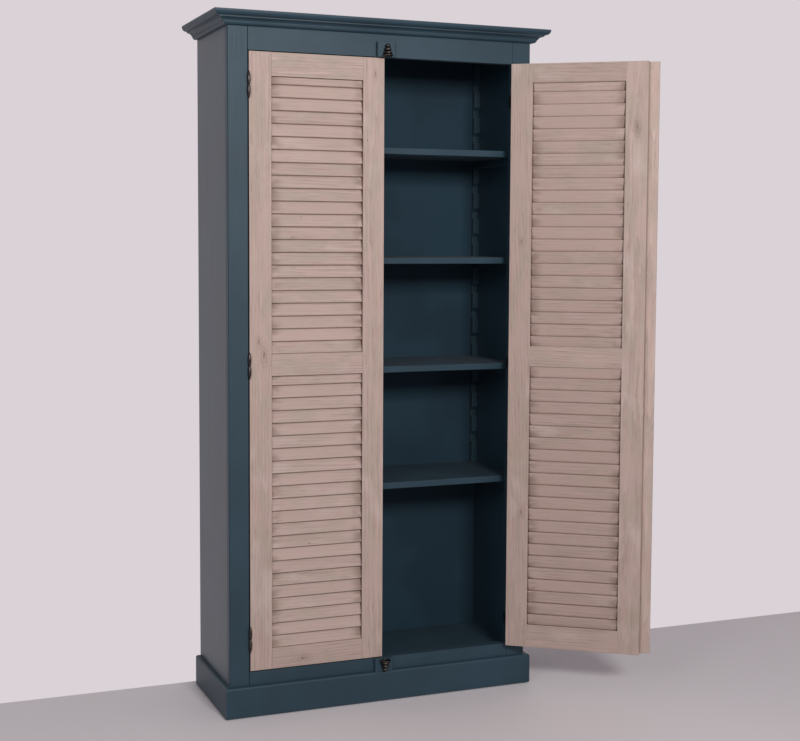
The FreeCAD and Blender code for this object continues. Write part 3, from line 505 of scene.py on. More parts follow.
class OakWork(ShaderWork):
    """The mixing of washed oak for one board."""

    def __init__(self, oak: WashedOak, board: Board) -> None:
        """Start the material, and find places on the shut door and in the log.

        Args:
            oak: The finish.
            board: The board.
        """
        super().__init__(f"washed_oak_{board.name}")
        self.oak, self.board = oak, board
        if board.swing_deg:
            turn = -math.radians(board.swing_deg)
            line = Vector((*HINGE_LINE, 0))
            self.place = self.mapped(self.place, Rotation=(0, 0, turn),
                                     Location=line - Matrix.Rotation(turn, 3, "Z") @ line)
        self.lot = self._numbers(board.bank) if board.bank else None
        self.timber = self._cut_from_log()
        self.clouds = self.noise(self.timber, oak.clouds)

    def coat(self) -> Material:
        """Mix the finish.

        Returns:
            The material.
        """
        oak, board = self.oak, self.board
        tone, fibres = self._figure()
        patches = self.noise(self.timber, oak.patches)
        colour = self.mix(tone, oak.early, oak.late)
        colour = self.lay(colour, self.clouds, oak.weathered)
        colour = self.lay(colour, patches, oak.wash)
        colour = self.mix(self.times(fibres, oak.fibre_share), colour, oak.pore)
        colour = self.lay(colour, patches, oak.plain)
        for share in (board.tone_and_shade, self._pits(), *map(self._knot, board.knots)):
            colour = self.mix(share, colour, oak.pore)
        if board.bank:
            darker, plainer, _ = self.add("ShaderNodeSeparateColor", {0: self.lot}).outputs
            colour = self.lay(self.lay(colour, plainer, oak.plain_slat), darker, oak.dark_slat)
        if board.shoulders:
            colour = self._joints(colour)
        # Painted shade: the colour turns brown where ambient occlusion finds surfaces close by.
        unshaded = self.add("ShaderNodeAmbientOcclusion", {"Distance": oak.corner_shade_reach}, samples=oak.corner_shade_samples)
        colour = self.lay(colour, unshaded.outputs["AO"], oak.corner)
        # The arrises turn paler: partly the wash, partly a painted highlight.
        arris = self.eased(oak.ease, self.reckon("MULTIPLY_ADD", fibres, -1.0, 1.0), oak.relief)
        colour = self.lay(colour, arris, oak.arris)
        return self.finish(colour, self.clouds, oak.roughness, {"IOR": oak.index})

    def _numbers(self, bank: SlatBank) -> NodeSocket:
        """Three random numbers for each slat.

        A slat's count is its distance from the lowest one, square to the slats' faces, over their
        spacing that way, rounded down.

        Args:
            bank: How the slats lie.

        Returns:
            The socket with the numbers as a colour.
        """
        sine, cosine = math.sin(bank.tilt), math.cos(bank.tilt)
        off = self.vector("DOT_PRODUCT", self.place, (0, -cosine, sine))
        shift = bank.setback * cosine - bank.base * sine + bank.margin
        spacing = bank.pitch * sine
        count = self.reckon("FLOOR", self.reckon("MULTIPLY_ADD", off, 1 / spacing, shift / spacing))
        pick = self.reckon("MULTIPLY_ADD", count, bank.number_stride, self.board.seed * bank.seed_stride)
        return self.add("ShaderNodeTexWhiteNoise", {"W": pick}, noise_dimensions="1D").outputs["Color"]

    def _cut_from_log(self) -> NodeSocket:
        """Coordinates in the log that the board was sawn from, with the pith along Z.

        Returns:
            The socket with the coordinates.
        """
        oak, dice, place = self.oak, np.random.default_rng(self.board.seed), self.place
        if self.lot is not None:
            place = self.vector("ADD", place, self.vector("MULTIPLY", self.lot, oak.slat_apart))
        along = self.mapped(place, Rotation=self.board.grain.value)
        lean = dice.uniform(-1, 1, 2) * math.radians(oak.log_lean_deg)
        nearest, spread = oak.pith_depth
        centre = (dice.uniform(-oak.pith_aside, oak.pith_aside), nearest + dice.uniform(0, spread),
                  dice.uniform(-oak.log_half_length, oak.log_half_length))
        return self.mapped(along, Rotation=(*lean, 0), Location=centre)

    def _figure(self) -> tuple[NodeSocket, NodeSocket]:
        """Growth rings, streaks and fine fibres.

        Returns:
            Sockets with the tone, from early to late wood, and with the fibres' dark lines.
        """
        oak, timber = self.oak, self.timber
        # A wave of rings repeats every pi / 10 over its scale.
        rings = self.add("ShaderNodeTexWave", {
            "Vector": self.mapped(timber, Scale=(1, 1, oak.ring_shortening)), "Distortion": oak.ring_waver,
            "Scale": math.pi / 10 / oak.ring_spacing, "Detail": 3.0, "Detail Scale": 1.1, "Detail Roughness": 0.55,
        }, wave_type="RINGS", rings_direction="Z", wave_profile="SAW").outputs["Fac"]
        streaked = self.times(self.step(self.noise(timber, oak.streaks), *oak.streak_band), oak.streak_weight)
        tone = self.reckon("MULTIPLY_ADD", rings, oak.ring_weight, streaked)
        crowd = self.reckon("MULTIPLY_ADD", rings, oak.ring_crowding, self.noise(timber, oak.fibres))
        return tone, self.step(crowd, *oak.fibre_band)

    def _pits(self) -> NodeSocket:
        """Pin knots and old nail holes, a little longer than they are wide.

        Returns:
            The socket with the share of pit.
        """
        scale = 1 / self.oak.pit_spacing
        cells = self.mapped(self.timber, Scale=(scale, scale, self.oak.pit_shortening * scale))
        spread = self.add("ShaderNodeTexVoronoi", {"Vector": cells, "Scale": 1.0}, feature="F1").outputs["Distance"]
        return self.step(spread, *(reach * scale for reach in self.oak.pit_edge))

    def _knot(self, knot: Knot) -> NodeSocket:
        """How much of a knot's colour shows, its rings bent by noise up to half the bend either way.

        Args:
            knot: The knot.

        Returns:
            The socket with the share.
        """
        across, along = knot.across / knot.radius, knot.along / knot.radius
        x, z = (across, along) if self.board.grain is Grain.UPRIGHT else (along, across)
        near = self.mapped(self.place, Scale=(x, 0, z), Location=(-knot.x * x, 0, -knot.z * z))
        bends = self.vector("MULTIPLY_ADD", self.noise(near, knot.bends, "Color"), (knot.bend, 0, knot.bend), near)
        far = self.vector("LENGTH", self.vector("SUBTRACT", bends, (knot.bend / 2, 0, knot.bend / 2)))
        wave = self.reckon("SINE", self.times(far, knot.ring_pace))
        ringed = self.reckon("MULTIPLY_ADD", wave, knot.ring_share, knot.ring_share)
        rings = self.times(ringed, self.step(far, *knot.ring_fade))
        return self.reckon("MAXIMUM", rings, self.times(self.step(far, *knot.eye_fade), knot.eye_share))

    def _joints(self, colour: NodeSocket) -> NodeSocket:
        """Draw the joints' hairlines, and darken the slats in patches towards their ends.

        Args:
            colour: The colour so far.

        Returns:
            The socket with the new colour.
        """
        oak, board = self.oak, self.board
        x = self.add("ShaderNodeSeparateXYZ", {0: self.place}).outputs["X"]
        gaps = [self.reckon("ABSOLUTE", self.reckon("SUBTRACT", x, shoulder)) for shoulder in board.shoulders]
        near = gaps[0]
        for gap in gaps[1:]:
            near = self.reckon("MINIMUM", gap, near)
        on_stile, on_rail, on_slat = oak.joint_shares
        shown = on_stile if board.grain is Grain.UPRIGHT else on_slat if board.bank else on_rail
        # At the hinge edge this line is painted shade inside the gap.
        colour = self.lay(colour, near, Layer(oak.joint_and_gap_shade, *oak.joint_edge, shown))
        if board.bank is None:
            return colour
        ends = self.times(self.step(near, oak.end_reach, 0.0), self.step(self.clouds, *oak.end_clouds))
        return self.mix(self.times(ends, oak.end_share), colour, oak.pore)


@dataclass(frozen=True)
class SatinPaint:
    """Sprayed satin furniture paint on wood: deep petrol blue, faint grain, and arrises in their own tone, by default
    paler for wear and a painted highlight.
    """

    name: str = "satin_paint_petrol"
    body: str = "#2a4350"
    shade: str = "#253c48"
    arris_tone: str = "#62747d"
    fibres: Noise = Noise(3 * MM, 160 * MM, 3.0)
    fibre_weight: float = 1.4
    clouds: Noise = Noise(0.2, 0.2, 2.0)
    body_band: Pair = (0.35, 0.65)
    arris_tone_band: Pair = (0.2, 0.8)
    peel: Noise = Noise(2.2 * MM, 2.2 * MM, 1.0)
    ease: float = 1.2 * MM
    relief: float = 0.05 * MM
    roughness: Pair = (0.45, 0.59)
    gloss: float = 0.36
    # The lacquer's matting powder turns it paler and greyer at a grazing glance.
    powder: float = 0.1
    powder_roughness: float = 0.3
    powder_tint: str = "#f2ecea"

    def coat(self, grain: Grain) -> Material:
        """Mix the paint for boards whose grain runs one way.

        Args:
            grain: Which way the grain runs under the paint.

        Returns:
            The material.
        """
        work = ShaderWork(f"{self.name}_{grain.name.lower()}")
        lines = work.noise(work.mapped(work.place, Rotation=grain.value), self.fibres)
        cloud = work.noise(work.place, self.clouds)
        skin = work.noise(work.place, self.peel)
        arris = work.eased(self.ease, work.reckon("MULTIPLY_ADD", lines, self.fibre_weight, skin), self.relief)
        colour = work.mix(work.step(cloud, *self.body_band), self.shade, self.body)
        # Arrises take the arris tone: on the case, wear with a painted highlight; on the frame, dust with painted
        # shade.
        colour = work.mix(work.times(arris, work.step(cloud, *self.arris_tone_band)), colour, self.arris_tone)
        return work.finish(colour, lines, self.roughness, {
            "Specular IOR Level": self.gloss, "Sheen Weight": self.powder,
            "Sheen Roughness": self.powder_roughness, "Sheen Tint": linear(self.powder_tint),
        })


PAINT = SatinPaint()
# The frame's arrises are painted darker: dust, and painted shade in the gaps beside its boards.
DUST_AND_SHADE_PAINT = SatinPaint("dust_and_shade_paint_petrol", arris_tone="#18242b")
# The side boards are smooth, so the paint on them shines more than on the frame's open grain.
SMOOTH_PAINT = SatinPaint("smooth_paint_petrol", roughness=(0.35, 0.49), gloss=0.48)
# Shelves are wiped and slid over, which takes the shine off their paint.
WIPED_PAINT = SatinPaint("wiped_paint_petrol", gloss=0.28, powder=0.05)
# The back board's paint is duller than the case's, and its darker colour is painted shade for the little light that
# reaches inside.
SHADED_MATT_PAINT = SatinPaint("shaded_matt_paint_petrol", "#263e4c", "#213643", roughness=(0.62, 0.78), gloss=0.2, powder=0.0)


@dataclass(frozen=True)
class MottledFinish:
    """A cast, moulded, felted or plated finish, mottled at its own scale."""

    name: str
    light: str
    dark: str
    texture: float
    roughness: Pair
    depth: float
    metallic: float = 0.0
    arris_tone: Layer | None = None
    ease: float = 0.5 * MM
    octaves: float = 3.0
    harshness: float = 0.5
    band: Pair = (0.35, 0.65)

    def coat(self) -> Material:
        """Mix the finish.

        Returns:
            The material.
        """
        work = ShaderWork(self.name)
        spots = work.noise(work.place, Noise(self.texture, self.texture, self.octaves, 0.0, self.harshness))
        arris = work.eased(self.ease, spots, self.depth)
        colour = work.mix(work.step(spots, *self.band), self.dark, self.light)
        if self.arris_tone:
            colour = work.lay(colour, arris, self.arris_tone)
        return work.finish(colour, spots, self.roughness, {"Metallic": self.metallic})


# Cast bronze with a dark chemical patina: grey-black, polished by hands where it stands proud.
BRONZE = MottledFinish("patinated_bronze", "#4f4946", "#322e2d", 8 * MM, (0.24, 0.42), 0.08 * MM, 1.0,
                       arris_tone=Layer("#a99e95", 0.0, 1.6), ease=0.6 * MM, octaves=4.0, harshness=0.6)
# Injection-moulded nylon: black, softly shiny, faintly pitted.
NYLON = MottledFinish("moulded_nylon", "#2a2a2b", "#1b1b1c", 1.5 * MM, (0.4, 0.55), 0.03 * MM)
# Wool felt pads: grey-brown, matt, fibrous.
FELT = MottledFinish("wool_felt", "#8e877d", "#6c665e", 0.8 * MM, (0.9, 1.0), 0.3 * MM)
# Moulded ABS: dark brown, satin.
ABS = MottledFinish("moulded_abs", "#4a3a30", "#3a2d25", 1.2 * MM, (0.35, 0.5), 0.02 * MM)
# Zinc-plated sheet steel: pale, slightly clouded.
ZINC = MottledFinish("zinc_plated_steel", "#c4c6c8", "#9fa3a6", 3 * MM, (0.28, 0.45), 0.01 * MM, 1.0)


# ---- sub-assemblies ----

@dataclass
class Screw:
    """A countersunk bronze screw whose raised head has a cross recess."""

    radius: float = 2.6 * MM
    rise: float = 0.45 * MM
    sunk: float = 0.6 * MM
    recess_reach: float = 1.5 * MM
    recess_half: float = 0.35 * MM
    recess_depth: float = 0.9 * MM
    rings: int = 11
    segments: int = 32

    def surface(self) -> Points:
        """The head about the Z axis, standing on z = 0.

        The recess is where |x| or |y| is under its half width and r is within its reach.

        Returns:
            The grid of points, with its poles on the axis.
        """
        points = turned(domed(self.radius, self.rise, self.sunk, self.rings), self.segments)
        x, y = np.abs(points[..., 0]), np.abs(points[..., 1])
        crossed = (np.hypot(x, y) < self.recess_reach) & (np.minimum(x, y) < self.recess_half)
        crossed[-2:] = False
        points[..., 2] -= self.recess_depth * crossed
        return points


@dataclass
class Carcass:
    """The painted case: frame, panels, mouldings, shelves, racks and their small fixings."""

    pin_columns: int = 7
    pin_rows: int = 13
    pin_inset: float = 7 * MM
    pin_radius: float = 1.7 * MM
    pin_rise: float = 0.5 * MM
    pin_rings: int = 5
    pin_segments: int = 16

    def build(self) -> None:
        """Dress the carcass and add the pins of its back panel."""
        coats = (
            (PAINT, Grain.UPRIGHT, ("front_shelf_racks", "back_shelf_racks", "top_keeper_block",
                                    "bottom_keeper_block")),
            (PAINT, Grain.LEVEL, ("top_panel", "bottom_panel", "cornice_front", "cornice_top_board",
                                  "plinth_front", "plinth_back", "door_stop_batten")),
            (PAINT, Grain.DEEP, ("cornice_left", "cornice_right", "plinth_left", "plinth_right", "shelf_cleats",
                                 "fixed_shelf_battens")),
            (DUST_AND_SHADE_PAINT, Grain.UPRIGHT, ("left_frame_stile", "right_frame_stile")),
            (DUST_AND_SHADE_PAINT, Grain.LEVEL, ("frame_top_rail", "frame_bottom_rail")),
            (SMOOTH_PAINT, Grain.UPRIGHT, ("left_side_panel", "right_side_panel")),
            (WIPED_PAINT, Grain.LEVEL, ("fixed_shelf", "lower_shelf", "middle_shelf", "upper_shelf")),
            (SHADED_MATT_PAINT, Grain.UPRIGHT, ("back_panel",)),
        )
        for paint, grain, nodes in coats:
            coat = paint.coat(grain)
            for node in nodes:
                dress(node, coat)
        for node, finish in (("floor_glides", NYLON), ("door_bumpers", FELT), ("left_door_catch", ABS)):
            dress(node, finish.coat())
        self.pin_back_panel()

    def pin_back_panel(self) -> None:
        """Drive small domed pins round the back panel."""
        low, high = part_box("back_panel")
        inset = self.pin_inset
        columns = np.linspace(low.x + inset, high.x - inset, self.pin_columns)
        rows = np.linspace(low.z + inset, high.z - inset, self.pin_rows)
        spots = [(x, z) for x in columns for z in (rows[0], rows[-1])]
        spots += [(x, z) for x in (columns[0], columns[-1]) for z in rows[1:-1]]
        head = turned(domed(self.pin_radius, self.pin_rise, self.pin_rise, self.pin_rings), self.pin_segments)
        face = Matrix.Rotation(-math.pi / 2, 4, "X")
        places = [Matrix.Translation((x, high.y, z)) @ face for x, z in spots]
        make_piece("back_panel_pins", [(head, places)], ZINC.coat(), "carcass")


@dataclass
class LouvredLeaf:
    """One louvred door: stiles, rails and slats of washed oak, each board of its own wood."""

    side: str
    swing_deg: float
    knots: tuple[Knot, ...] = ()
    tone_and_shade: Mapping[str, float] = field(default_factory=dict)
    inner: float = 1.5 * MM
    outer: float = 386.5 * MM
    stile_width: float = 62 * MM
    bevel_rise: float = 10 * MM
    slat_thickness: float = 6 * MM
    slat_fit: float = 0.2 * MM

    def build(self, oak: WashedOak, seed: int) -> None:
        """Dress the door's boards.

        Args:
            oak: The finish.
            seed: Picks the door's pieces of wood.
        """
        hand = -1 if self.side == "left" else 1
        near, far = self.inner + self.stile_width, self.outer - self.stile_width
        # A dark line on the hinge edge is painted shade inside its gap beside the frame.
        joints = {"hinge_stile": [hand * far, hand * self.outer], "meeting_stile": [hand * near]}
        joints |= dict.fromkeys(("top_rail", "mid_rail", "bottom_rail", "upper_slats", "lower_slats"),
                                [hand * near, hand * far])
        rails_below = {"upper_slats": "mid_rail", "lower_slats": "bottom_rail"}
        for number, (part, shown) in enumerate(joints.items()):
            name = f"{self.side}_door_{part}"
            upright = part.endswith("stile")
            grain = Grain.UPRIGHT if upright else Grain.LEVEL
            bank = self._bank(rails_below[part]) if part in rails_below else None
            low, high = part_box(name)
            knots = [knot for knot in self.knots
                     if low.z < knot.z < high.z and (near < abs(knot.x) < far) != upright]
            board = Board(name, grain, self.swing_deg, seed + number, shown, knots, bank, self.tone_and_shade.get(part, 0.0))
            dress(name, OakWork(oak, board).coat())

    def _bank(self, rail: str) -> SlatBank:
        """How the slats over a rail lie."""
        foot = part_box(f"{self.side}_door_{rail}")[1].z - self.bevel_rise
        return SlatBank(foot + self.slat_fit + self.slat_thickness * math.sin(SlatBank.tilt))


@dataclass
class Hinges:
    """The lift-off hinges: olive knuckles with ball tips, and screwed leaves."""

    per_door: int = 3
    knuckle: float = 31 * MM
    start: float = 0.2 * MM
    olive_radius: float = 4.6 * MM
    end_radius: float = 2.6 * MM
    olive_power: float = 0.75
    olive_rows: int = 23
    neck_radius: float = 1.5 * MM
    neck_height: float = 0.8 * MM
    neck_steps: Pair = (0.25, 1.0)
    ball_radius: float = 2.4 * MM
    ball_rows: int = 13
    segments: int = 28
    pin_radius: float = 1.8 * MM
    pin_reach: float = 26 * MM
    bore_fit: float = 0.05 * MM
    leaf_thickness: float = 2 * MM
    leaf_corner: float = 2.5 * MM
    leaf_ease: float = 0.4 * MM
    leaf_low: float = -2.4 * MM
    leaf_high: float = 19 * MM
    frame_leaf_x: float = 387 * MM
    door_leaf_x: float = 386.5 * MM
    screw_spots: tuple[Pair, ...] = ((6 * MM, 8 * MM), (13 * MM, 22 * MM))
    screw: Screw = field(default_factory=lambda: Screw(radius=2.4 * MM, rise=0.25 * MM, recess_reach=1.3 * MM))

    def olive(self) -> Points:
        """The outside of a knuckle and its ball tip, along Z from the joint at z = start.

        The radius swells from the ends by a sine raised to a power; the ball is an arc about its centre.

        Returns:
            Rows of radius and height.
        """
        share = np.linspace(0, 1, self.olive_rows)
        swell = np.sin(math.pi * share) ** self.olive_power
        barrel = np.stack([self.end_radius + (self.olive_radius - self.end_radius) * swell,
                           self.start + share * (self.knuckle - self.start)], axis=1)
        neck = np.array([[self.neck_radius, self.knuckle + part * self.neck_height] for part in self.neck_steps])
        lean = math.pi - math.asin(self.neck_radius / self.ball_radius)
        arc = np.linspace(lean, 0, self.ball_rows)[1:]
        centre = self.knuckle + self.neck_height - self.ball_radius * math.cos(lean)
        ball = np.stack([self.ball_radius * np.sin(arc), centre + self.ball_radius * np.cos(arc)], axis=1)
        return np.concatenate([barrel, neck, ball])

    def halves(self) -> tuple[Points, Points]:
        """The knuckles of a hinge's halves, along Z from the joint at z = 0.

        Returns:
            The door's knuckle with its bore, and the frame's, turned over, with its pin.
        """
        ends = ((self.pin_radius + self.bore_fit, self.pin_reach + 2 * self.start), (self.pin_radius, -self.pin_reach))
        insides = [[[0, end], [radius, end], [radius, self.start]] for radius, end in ends]
        return tuple(turned(np.concatenate([inside, self.olive()]), self.segments) for inside in insides)

    def leaf(self) -> Points:
        """A hinge leaf with rounded corners, standing in the plane of Y and Z."""
        size = (self.leaf_high - self.leaf_low, self.knuckle - self.start)
        return slab(rounded_box(size, self.leaf_corner), self.leaf_thickness, self.leaf_ease)[..., (2, 0, 1)]

    def build(self, bronze: Material) -> None:
        """Make the hinges of both doors in place of their plain solids.

        Args:
            bronze: The hardware's finish.
        """
        head, plate = self.screw.surface(), self.leaf()
        bored, pinned = self.halves()
        over = Matrix.Rotation(math.pi, 4, "Y")
        leaf_spots = (((self.leaf_low + self.leaf_high) / 2, (self.knuckle + self.start) / 2),)
        for side, hand in (("left", -1), ("right", 1)):
            low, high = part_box(f"{side}_door_hinge_leaves")
            middles = np.linspace(low.z - self.start, high.z - self.knuckle, self.per_door)
            pins = [Matrix.Translation((hand * HINGE_LINE[0], HINGE_LINE[1], z)) for z in middles]
            opened = swung(Vector()) if hand > 0 else Matrix()
            screws = []
            for name, body, way, knuckle, flip, swing, near, outward in (
                (f"{side}_door", f"{side}_door", 1, bored, Matrix(), opened, self.door_leaf_x, self.leaf_thickness),
                (f"{side}_frame", "carcass", -1, pinned, over, Matrix(), self.frame_leaf_x, 0.0),
            ):
                leaf_x = hand * near - self.leaf_thickness * (hand < 0)
                leaves, seats = (
                    [swing @ Matrix.Translation((x, y, z + way * off)) for z in middles for y, off in spots]
                    for x, spots in ((leaf_x, leaf_spots), (hand * (near + outward), self.screw_spots)))
                knuckles = [pin @ flip for pin in pins]
                piece = make_piece(f"{name}_hinge_leaves_olive", [(knuckle, knuckles), (plate, leaves)], bronze, body)
                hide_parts(f"{name}_hinge_leaves")
                facing = Matrix.Rotation(way * hand * math.pi / 2, 4, "Y")
                screws.append((f"{name}_hinge_screws", body, [place @ facing for place in seats]))
            for name, body, places in screws:
                make_piece(name, [(head, places)], bronze, body)


@dataclass
class RodKeepers:
    """The cast keepers on the face frame: a flange and three rounded tiers under a bead."""

    flange_radius: float = 15.5 * MM
    flange_height: float = 4 * MM
    tiers: tuple[Pair, ...] = ((12 * MM, 8.5 * MM), (9.6 * MM, 6.2 * MM), (6.8 * MM, 4 * MM))
    tier_height: float = 9.5 * MM
    tier_power: float = 0.7
    tier_rows: int = 11
    bore_radius: float = 5.1 * MM
    bore_depth: float = 22 * MM
    lip: float = 0.6 * MM
    rod_y: float = -22 * MM
    flat_y: float = -14 * MM
    segments: int = 48

    def surface(self) -> Points:
        """A keeper with its mouth at z = 0, about the rod's line, cut flat against its block.

        Each tier bulges from its waist to its rim by a sine raised to a power, and what lies behind
        the block's face is brought forward to it.

        Returns:
            The grid of points, from the end of the bore, out over the mouth and up to the top.
        """
        bore = [(0, self.bore_depth), (self.bore_radius, self.bore_depth), (self.bore_radius, self.lip),
                (self.bore_radius + self.lip, 0)]
        rows = [bore, half_round(self.flange_radius, self.flange_height)]
        share = np.linspace(0, 1, self.tier_rows)
        foot = self.flange_height
        for rim, waist in self.tiers:
            bulge = waist + (rim - waist) * np.sin(math.pi * share) ** self.tier_power
            rows.append(np.stack([bulge, foot + share * self.tier_height], axis=1))
            foot += self.tier_height
        points = turned(np.concatenate([*rows, [(0, foot)]]), self.segments)
        points[..., 1] = np.minimum(points[..., 1], self.flat_y - self.rod_y)
        return points

    def build(self, bronze: Material) -> None:
        """Make both keepers in place of their plain solids.

        Args:
            bronze: The hardware's finish.
        """
        low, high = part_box("rod_keepers")
        height = self.flange_height + len(self.tiers) * self.tier_height
        over = Matrix.Rotation(math.pi, 4, "Y")
        places = [Matrix.Translation((0, self.rod_y, high.z - height)),
                  Matrix.Translation((0, self.rod_y, low.z + height)) @ over]
        piece = make_piece("rod_keepers_cast", [(self.surface(), places)], bronze, "carcass")
        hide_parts("rod_keepers")


@dataclass
class CremoneBolt:
    """The bolt on the right door's cover strip: case, knob, rods and guides."""

    case_front: float = 34 * MM
    case_screw_off: float = 45 * MM
    guide_front: float = 16.5 * MM
    guide_half: float = 7 * MM
    guide_screw_out: float = 15.5 * MM
    spindle_radius: float = 5 * MM
    spindle_depth: float = 6 * MM
    play: float = 0.3 * MM
    collar_radius: float = 9 * MM
    collar_height: float = 4 * MM
    neck_radius: float = 4.4 * MM
    shoulder_radius: float = 6 * MM
    neck_length: float = 12 * MM
    neck_rows: int = 13
    stem_segments: int = 36
    grip_half: Triple = (5 * MM, 21 * MM, 12 * MM)
    grip_powers: Pair = (0.85, 0.9)
    grip_rows: int = 25
    grip_segments: int = 40

    def build(self, bronze: Material) -> None:
        """Dress the bolt, make its knob, and add the screws of its case and guides.

        Args:
            bronze: The hardware's finish.
        """
        for node in ("cremone_case", "upper_rod", "lower_rod", "rod_guides"):
            dress(node, bronze)
        towards = Matrix.Rotation(math.pi / 2, 4, "X")
        low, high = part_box("cremone_case")
        middle = (low.z + high.z) / 2
        spots = [Vector((0, -self.case_front, middle + way * self.case_screw_off)) for way in (-1, 1)]
        place = swung(Vector((0, -self.case_front, middle))) @ towards
        knob = make_piece("cremone_knob_oval", [(self.stem(), [place]), (self.grip(), [place])], bronze, "knob")
        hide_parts("cremone_knob")
        low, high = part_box("rod_guides")
        spots += [Vector((out, -self.guide_front, z)) for z in (low.z + self.guide_half, high.z - self.guide_half)
                  for out in (-self.guide_screw_out, self.guide_screw_out)]
        places = [swung(spot) @ towards for spot in spots]
        make_piece("cremone_screws", [(Screw().surface(), places)], bronze, "right_door")

    def stem(self) -> Points:
        """The spindle, collar and waisted neck, turned about Z with the case's face at z = 0.

        The collar's edge is a half circle, and the neck thins from its shoulder by a raised cosine.

        Returns:
            The grid of points.
        """
        spindle = [(0, -self.spindle_depth), (self.spindle_radius, -self.spindle_depth),
                   (self.spindle_radius, self.play)]
        collar = half_round(self.collar_radius, self.collar_height, self.play)
        share = np.linspace(0, 1, self.neck_rows)
        waist = (1 + np.cos(2 * math.pi * share)) / 2
        neck = np.stack([self.neck_radius + (self.shoulder_radius - self.neck_radius) * waist,
                         self.play + self.collar_height + share * self.neck_length], axis=1)
        return turned(np.concatenate([spindle, collar, neck, [(0, neck[-1, 1])]]), self.stem_segments)

    def grip(self) -> Points:
        """The oval grip: a ball turned about Z, stretched to its half lengths and a little squared.

        Returns:
            The grid of points.
        """
        way = np.linspace(-math.pi / 2, math.pi / 2, self.grip_rows)
        round_power, rise_power = self.grip_powers
        profile = np.stack([np.cos(way) ** round_power, np.sign(way) * np.abs(np.sin(way)) ** rise_power], axis=1)
        centre = np.array([0, 0, self.play + self.collar_height + self.neck_length])
        return turned(profile, self.grip_segments) * np.array(self.grip_half) + centre


# ---- studio ----

@dataclass(frozen=True)
class Lamp:
    """A square soft box."""

    name: str
    place: Triple
    aim: Triple
    size: float
    watts: float

    def hang(self) -> None:
        """Put the lamp in the scene."""
        light = bpy.data.lights.new(self.name, "AREA")
        light.shape = "SQUARE"
        light.size = self.size
        light.energy = self.watts
        lamp = stand(self.name, light)
        lamp.location = self.place
        lamp.rotation_euler = (Vector(self.aim) - Vector(self.place)).to_track_quat("-Z", "Y").to_euler()


def seen_directly(tree: NodeTree) -> NodeSocket:
    """Tell apart what the eye, a mirror or glass looks at from what lights a thing.

    Args:
        tree: The node tree to add to.

    Returns:
        The socket that is 1 where something looks and 0 elsewhere.
    """
    path = add_node(tree, "ShaderNodeLightPath").outputs
    seen = path["Is Camera Ray"]
    for ray in ("Is Glossy Ray", "Is Transmission Ray"):
        seen = add_node(tree, "ShaderNodeMath", {0: seen, 1: path[ray]}, operation="MAXIMUM").outputs[0]
    return seen


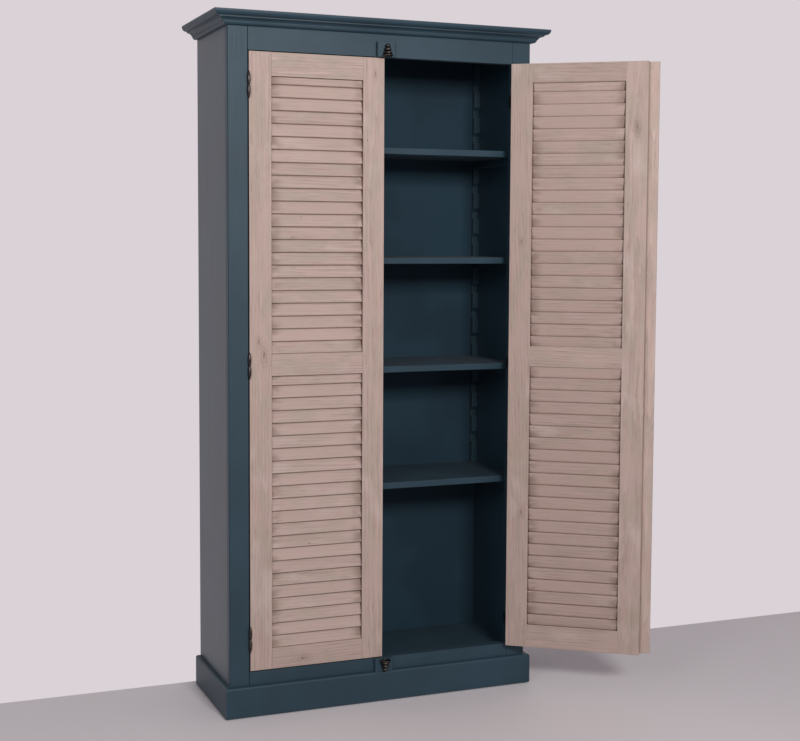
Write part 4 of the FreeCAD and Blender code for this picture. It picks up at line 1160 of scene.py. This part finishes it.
@dataclass
class Studio:
    """A pale floor that ends at a pale background, soft lamps and the camera."""

    background: str = "#dad2d7"
    floor: str = "#fcf6f8"
    floor_bounce: str = "#b8b0b3"
    floor_clouds: Noise = Noise(1 / 1.3, 1 / 1.3, 2.0)
    floor_band: Triple = (0.3, 0.7, 0.06)
    floor_roughness: float = 0.6
    floor_low: Pair = (-4.0, -6.0)
    floor_high: Pair = (5.0, 0.356)
    ambient: float = 0.32
    camera_place: Triple = (-1.42477, -3.68140, 1.31409)
    yaw_deg: float = -22.2135
    pitch_deg: float = -4.2310
    roll_deg: float = -0.3150
    focal_px: float = 1420.21
    middle_px: Pair = (410.05, 340.69)
    picture_px: tuple[int, int] = (800, 741)
    sensor_mm: float = 36.0
    lamps: tuple[Lamp, ...] = (
        Lamp("key_box", (-0.05, -4.15, 2.4), (0.0, 0.0, 3.2), 0.9, 111),
        Lamp("fill_box", (-2.9, -2.9, 2.3), (0.0, 0.2, 1.3), 1.2, 18),
    )

    def build(self) -> None:
        """Make the floor, the background, the lamps and the camera."""
        self.lay_floor()
        self.light_world()
        for lamp in self.lamps:
            lamp.hang()
        self.set_camera()
        bpy.context.scene.view_settings.view_transform = "Standard"

    def lay_floor(self) -> None:
        """Lay the floor: one flat sheet."""
        (left, near), (right, far) = self.floor_low, self.floor_high
        mesh = bpy.data.meshes.new("studio_floor")
        mesh.from_pydata([(left, near, 0), (right, near, 0), (right, far, 0), (left, far, 0)], [], [(0, 1, 2, 3)])
        work = ShaderWork("matt_studio_floor")
        # The eye and shiny surfaces see a paler floor than the one that lights the cabinet from below.
        tint = work.mix(seen_directly(work.tree), self.floor_bounce, self.floor)
        tint = work.lay(tint, work.noise(work.place, self.floor_clouds), Layer(self.background, *self.floor_band))
        work.tree.links.new(tint, work.surface.inputs["Base Color"])
        work.surface.inputs["Roughness"].default_value = self.floor_roughness
        mesh.materials.append(work.material)
        floor = stand("studio_floor", mesh)

    def light_world(self) -> None:
        """Show the background to the eye and to shiny surfaces, and light the rest with its ambient share."""
        world = bpy.data.worlds.new("studio")
        world.use_nodes = True
        bpy.context.scene.world = world
        tree = world.node_tree
        strength = add_node(tree, "ShaderNodeMapRange",
                            {"Value": seen_directly(tree), "To Min": self.ambient, "To Max": 1.0})
        sky = tree.nodes["Background"]
        sky.inputs["Color"].default_value = linear(self.background)
        tree.links.new(strength.outputs[0], sky.inputs["Strength"])

    def set_camera(self) -> None:
        """Stand the camera where the perspective of the cabinet's edges puts it."""
        width, height = self.picture_px
        lens = bpy.data.cameras.new("studio_camera")
        lens.sensor_fit = "HORIZONTAL"
        lens.sensor_width = self.sensor_mm
        lens.lens = self.focal_px / width * self.sensor_mm
        lens.shift_x = (width / 2 - self.middle_px[0]) / width
        lens.shift_y = (self.middle_px[1] - height / 2) / width
        camera = stand("studio_camera", lens)
        turn = Matrix.Identity(3)
        for angle, axis in ((self.yaw_deg, "Z"), (self.pitch_deg, "X"), (self.roll_deg, "Y"), (90, "X")):
            turn = turn @ Matrix.Rotation(math.radians(angle), 3, axis)
        camera.location = self.camera_place
        camera.rotation_euler = turn.to_euler()
        bpy.context.scene.camera = camera


def main() -> None:
    """Dress the cabinet, piece by piece, and set up the studio."""
    logging.basicConfig(level=logging.INFO, format="%(name)s: %(message)s")
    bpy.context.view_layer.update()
    bronze = BRONZE.coat()
    oak = WashedOak()
    Carcass().build()
    log.info("carcass painted")
    left_knots = (Knot(-0.361, 1.027, 7 * MM), Knot(-0.346, 0.992, 11 * MM), Knot(-0.028, 1.755, 6 * MM),
                  Knot(-0.236, 0.146, 9 * MM), Knot(-0.263, 1.308, 5 * MM))
    right_knots = (Knot(0.352, 1.30, 6 * MM), Knot(0.030, 1.62, 9 * MM), Knot(0.345, 0.52, 8 * MM))
    # Pore brown over whole boards: the right top rail is darker wood, the mid and bottom rails are painted shade,
    # darker towards the bottom, and the right hinge stile is a little browner.
    left_boards = {"bottom_rail": 0.06}
    right_boards = {"hinge_stile": 0.08, "top_rail": 0.2, "mid_rail": 0.06, "bottom_rail": 0.06}
    LouvredLeaf("left", 0.0, left_knots, left_boards).build(oak, seed=11)
    LouvredLeaf("right", SWING_DEG, right_knots, right_boards).build(oak, seed=31)
    # A paler copy of the oak on the strip is a painted highlight, for the light the strip catches.
    highlit_strip_oak = WashedOak(early="#d8c0b6", late="#bfa89e", weathered=replace(oak.weathered, colour="#c3b4a6"))
    dress("astragal", OakWork(highlit_strip_oak, Board("astragal", Grain.UPRIGHT, SWING_DEG, seed=53)).coat())
    log.info("doors washed")
    Hinges().build(bronze)
    RodKeepers().build(bronze)
    CremoneBolt().build(bronze)
    dress("catch_strike", ZINC.coat())
    log.info("hardware fitted")
    Studio().build()
    log.info("studio set")


if __name__ == "__main__":
    main()
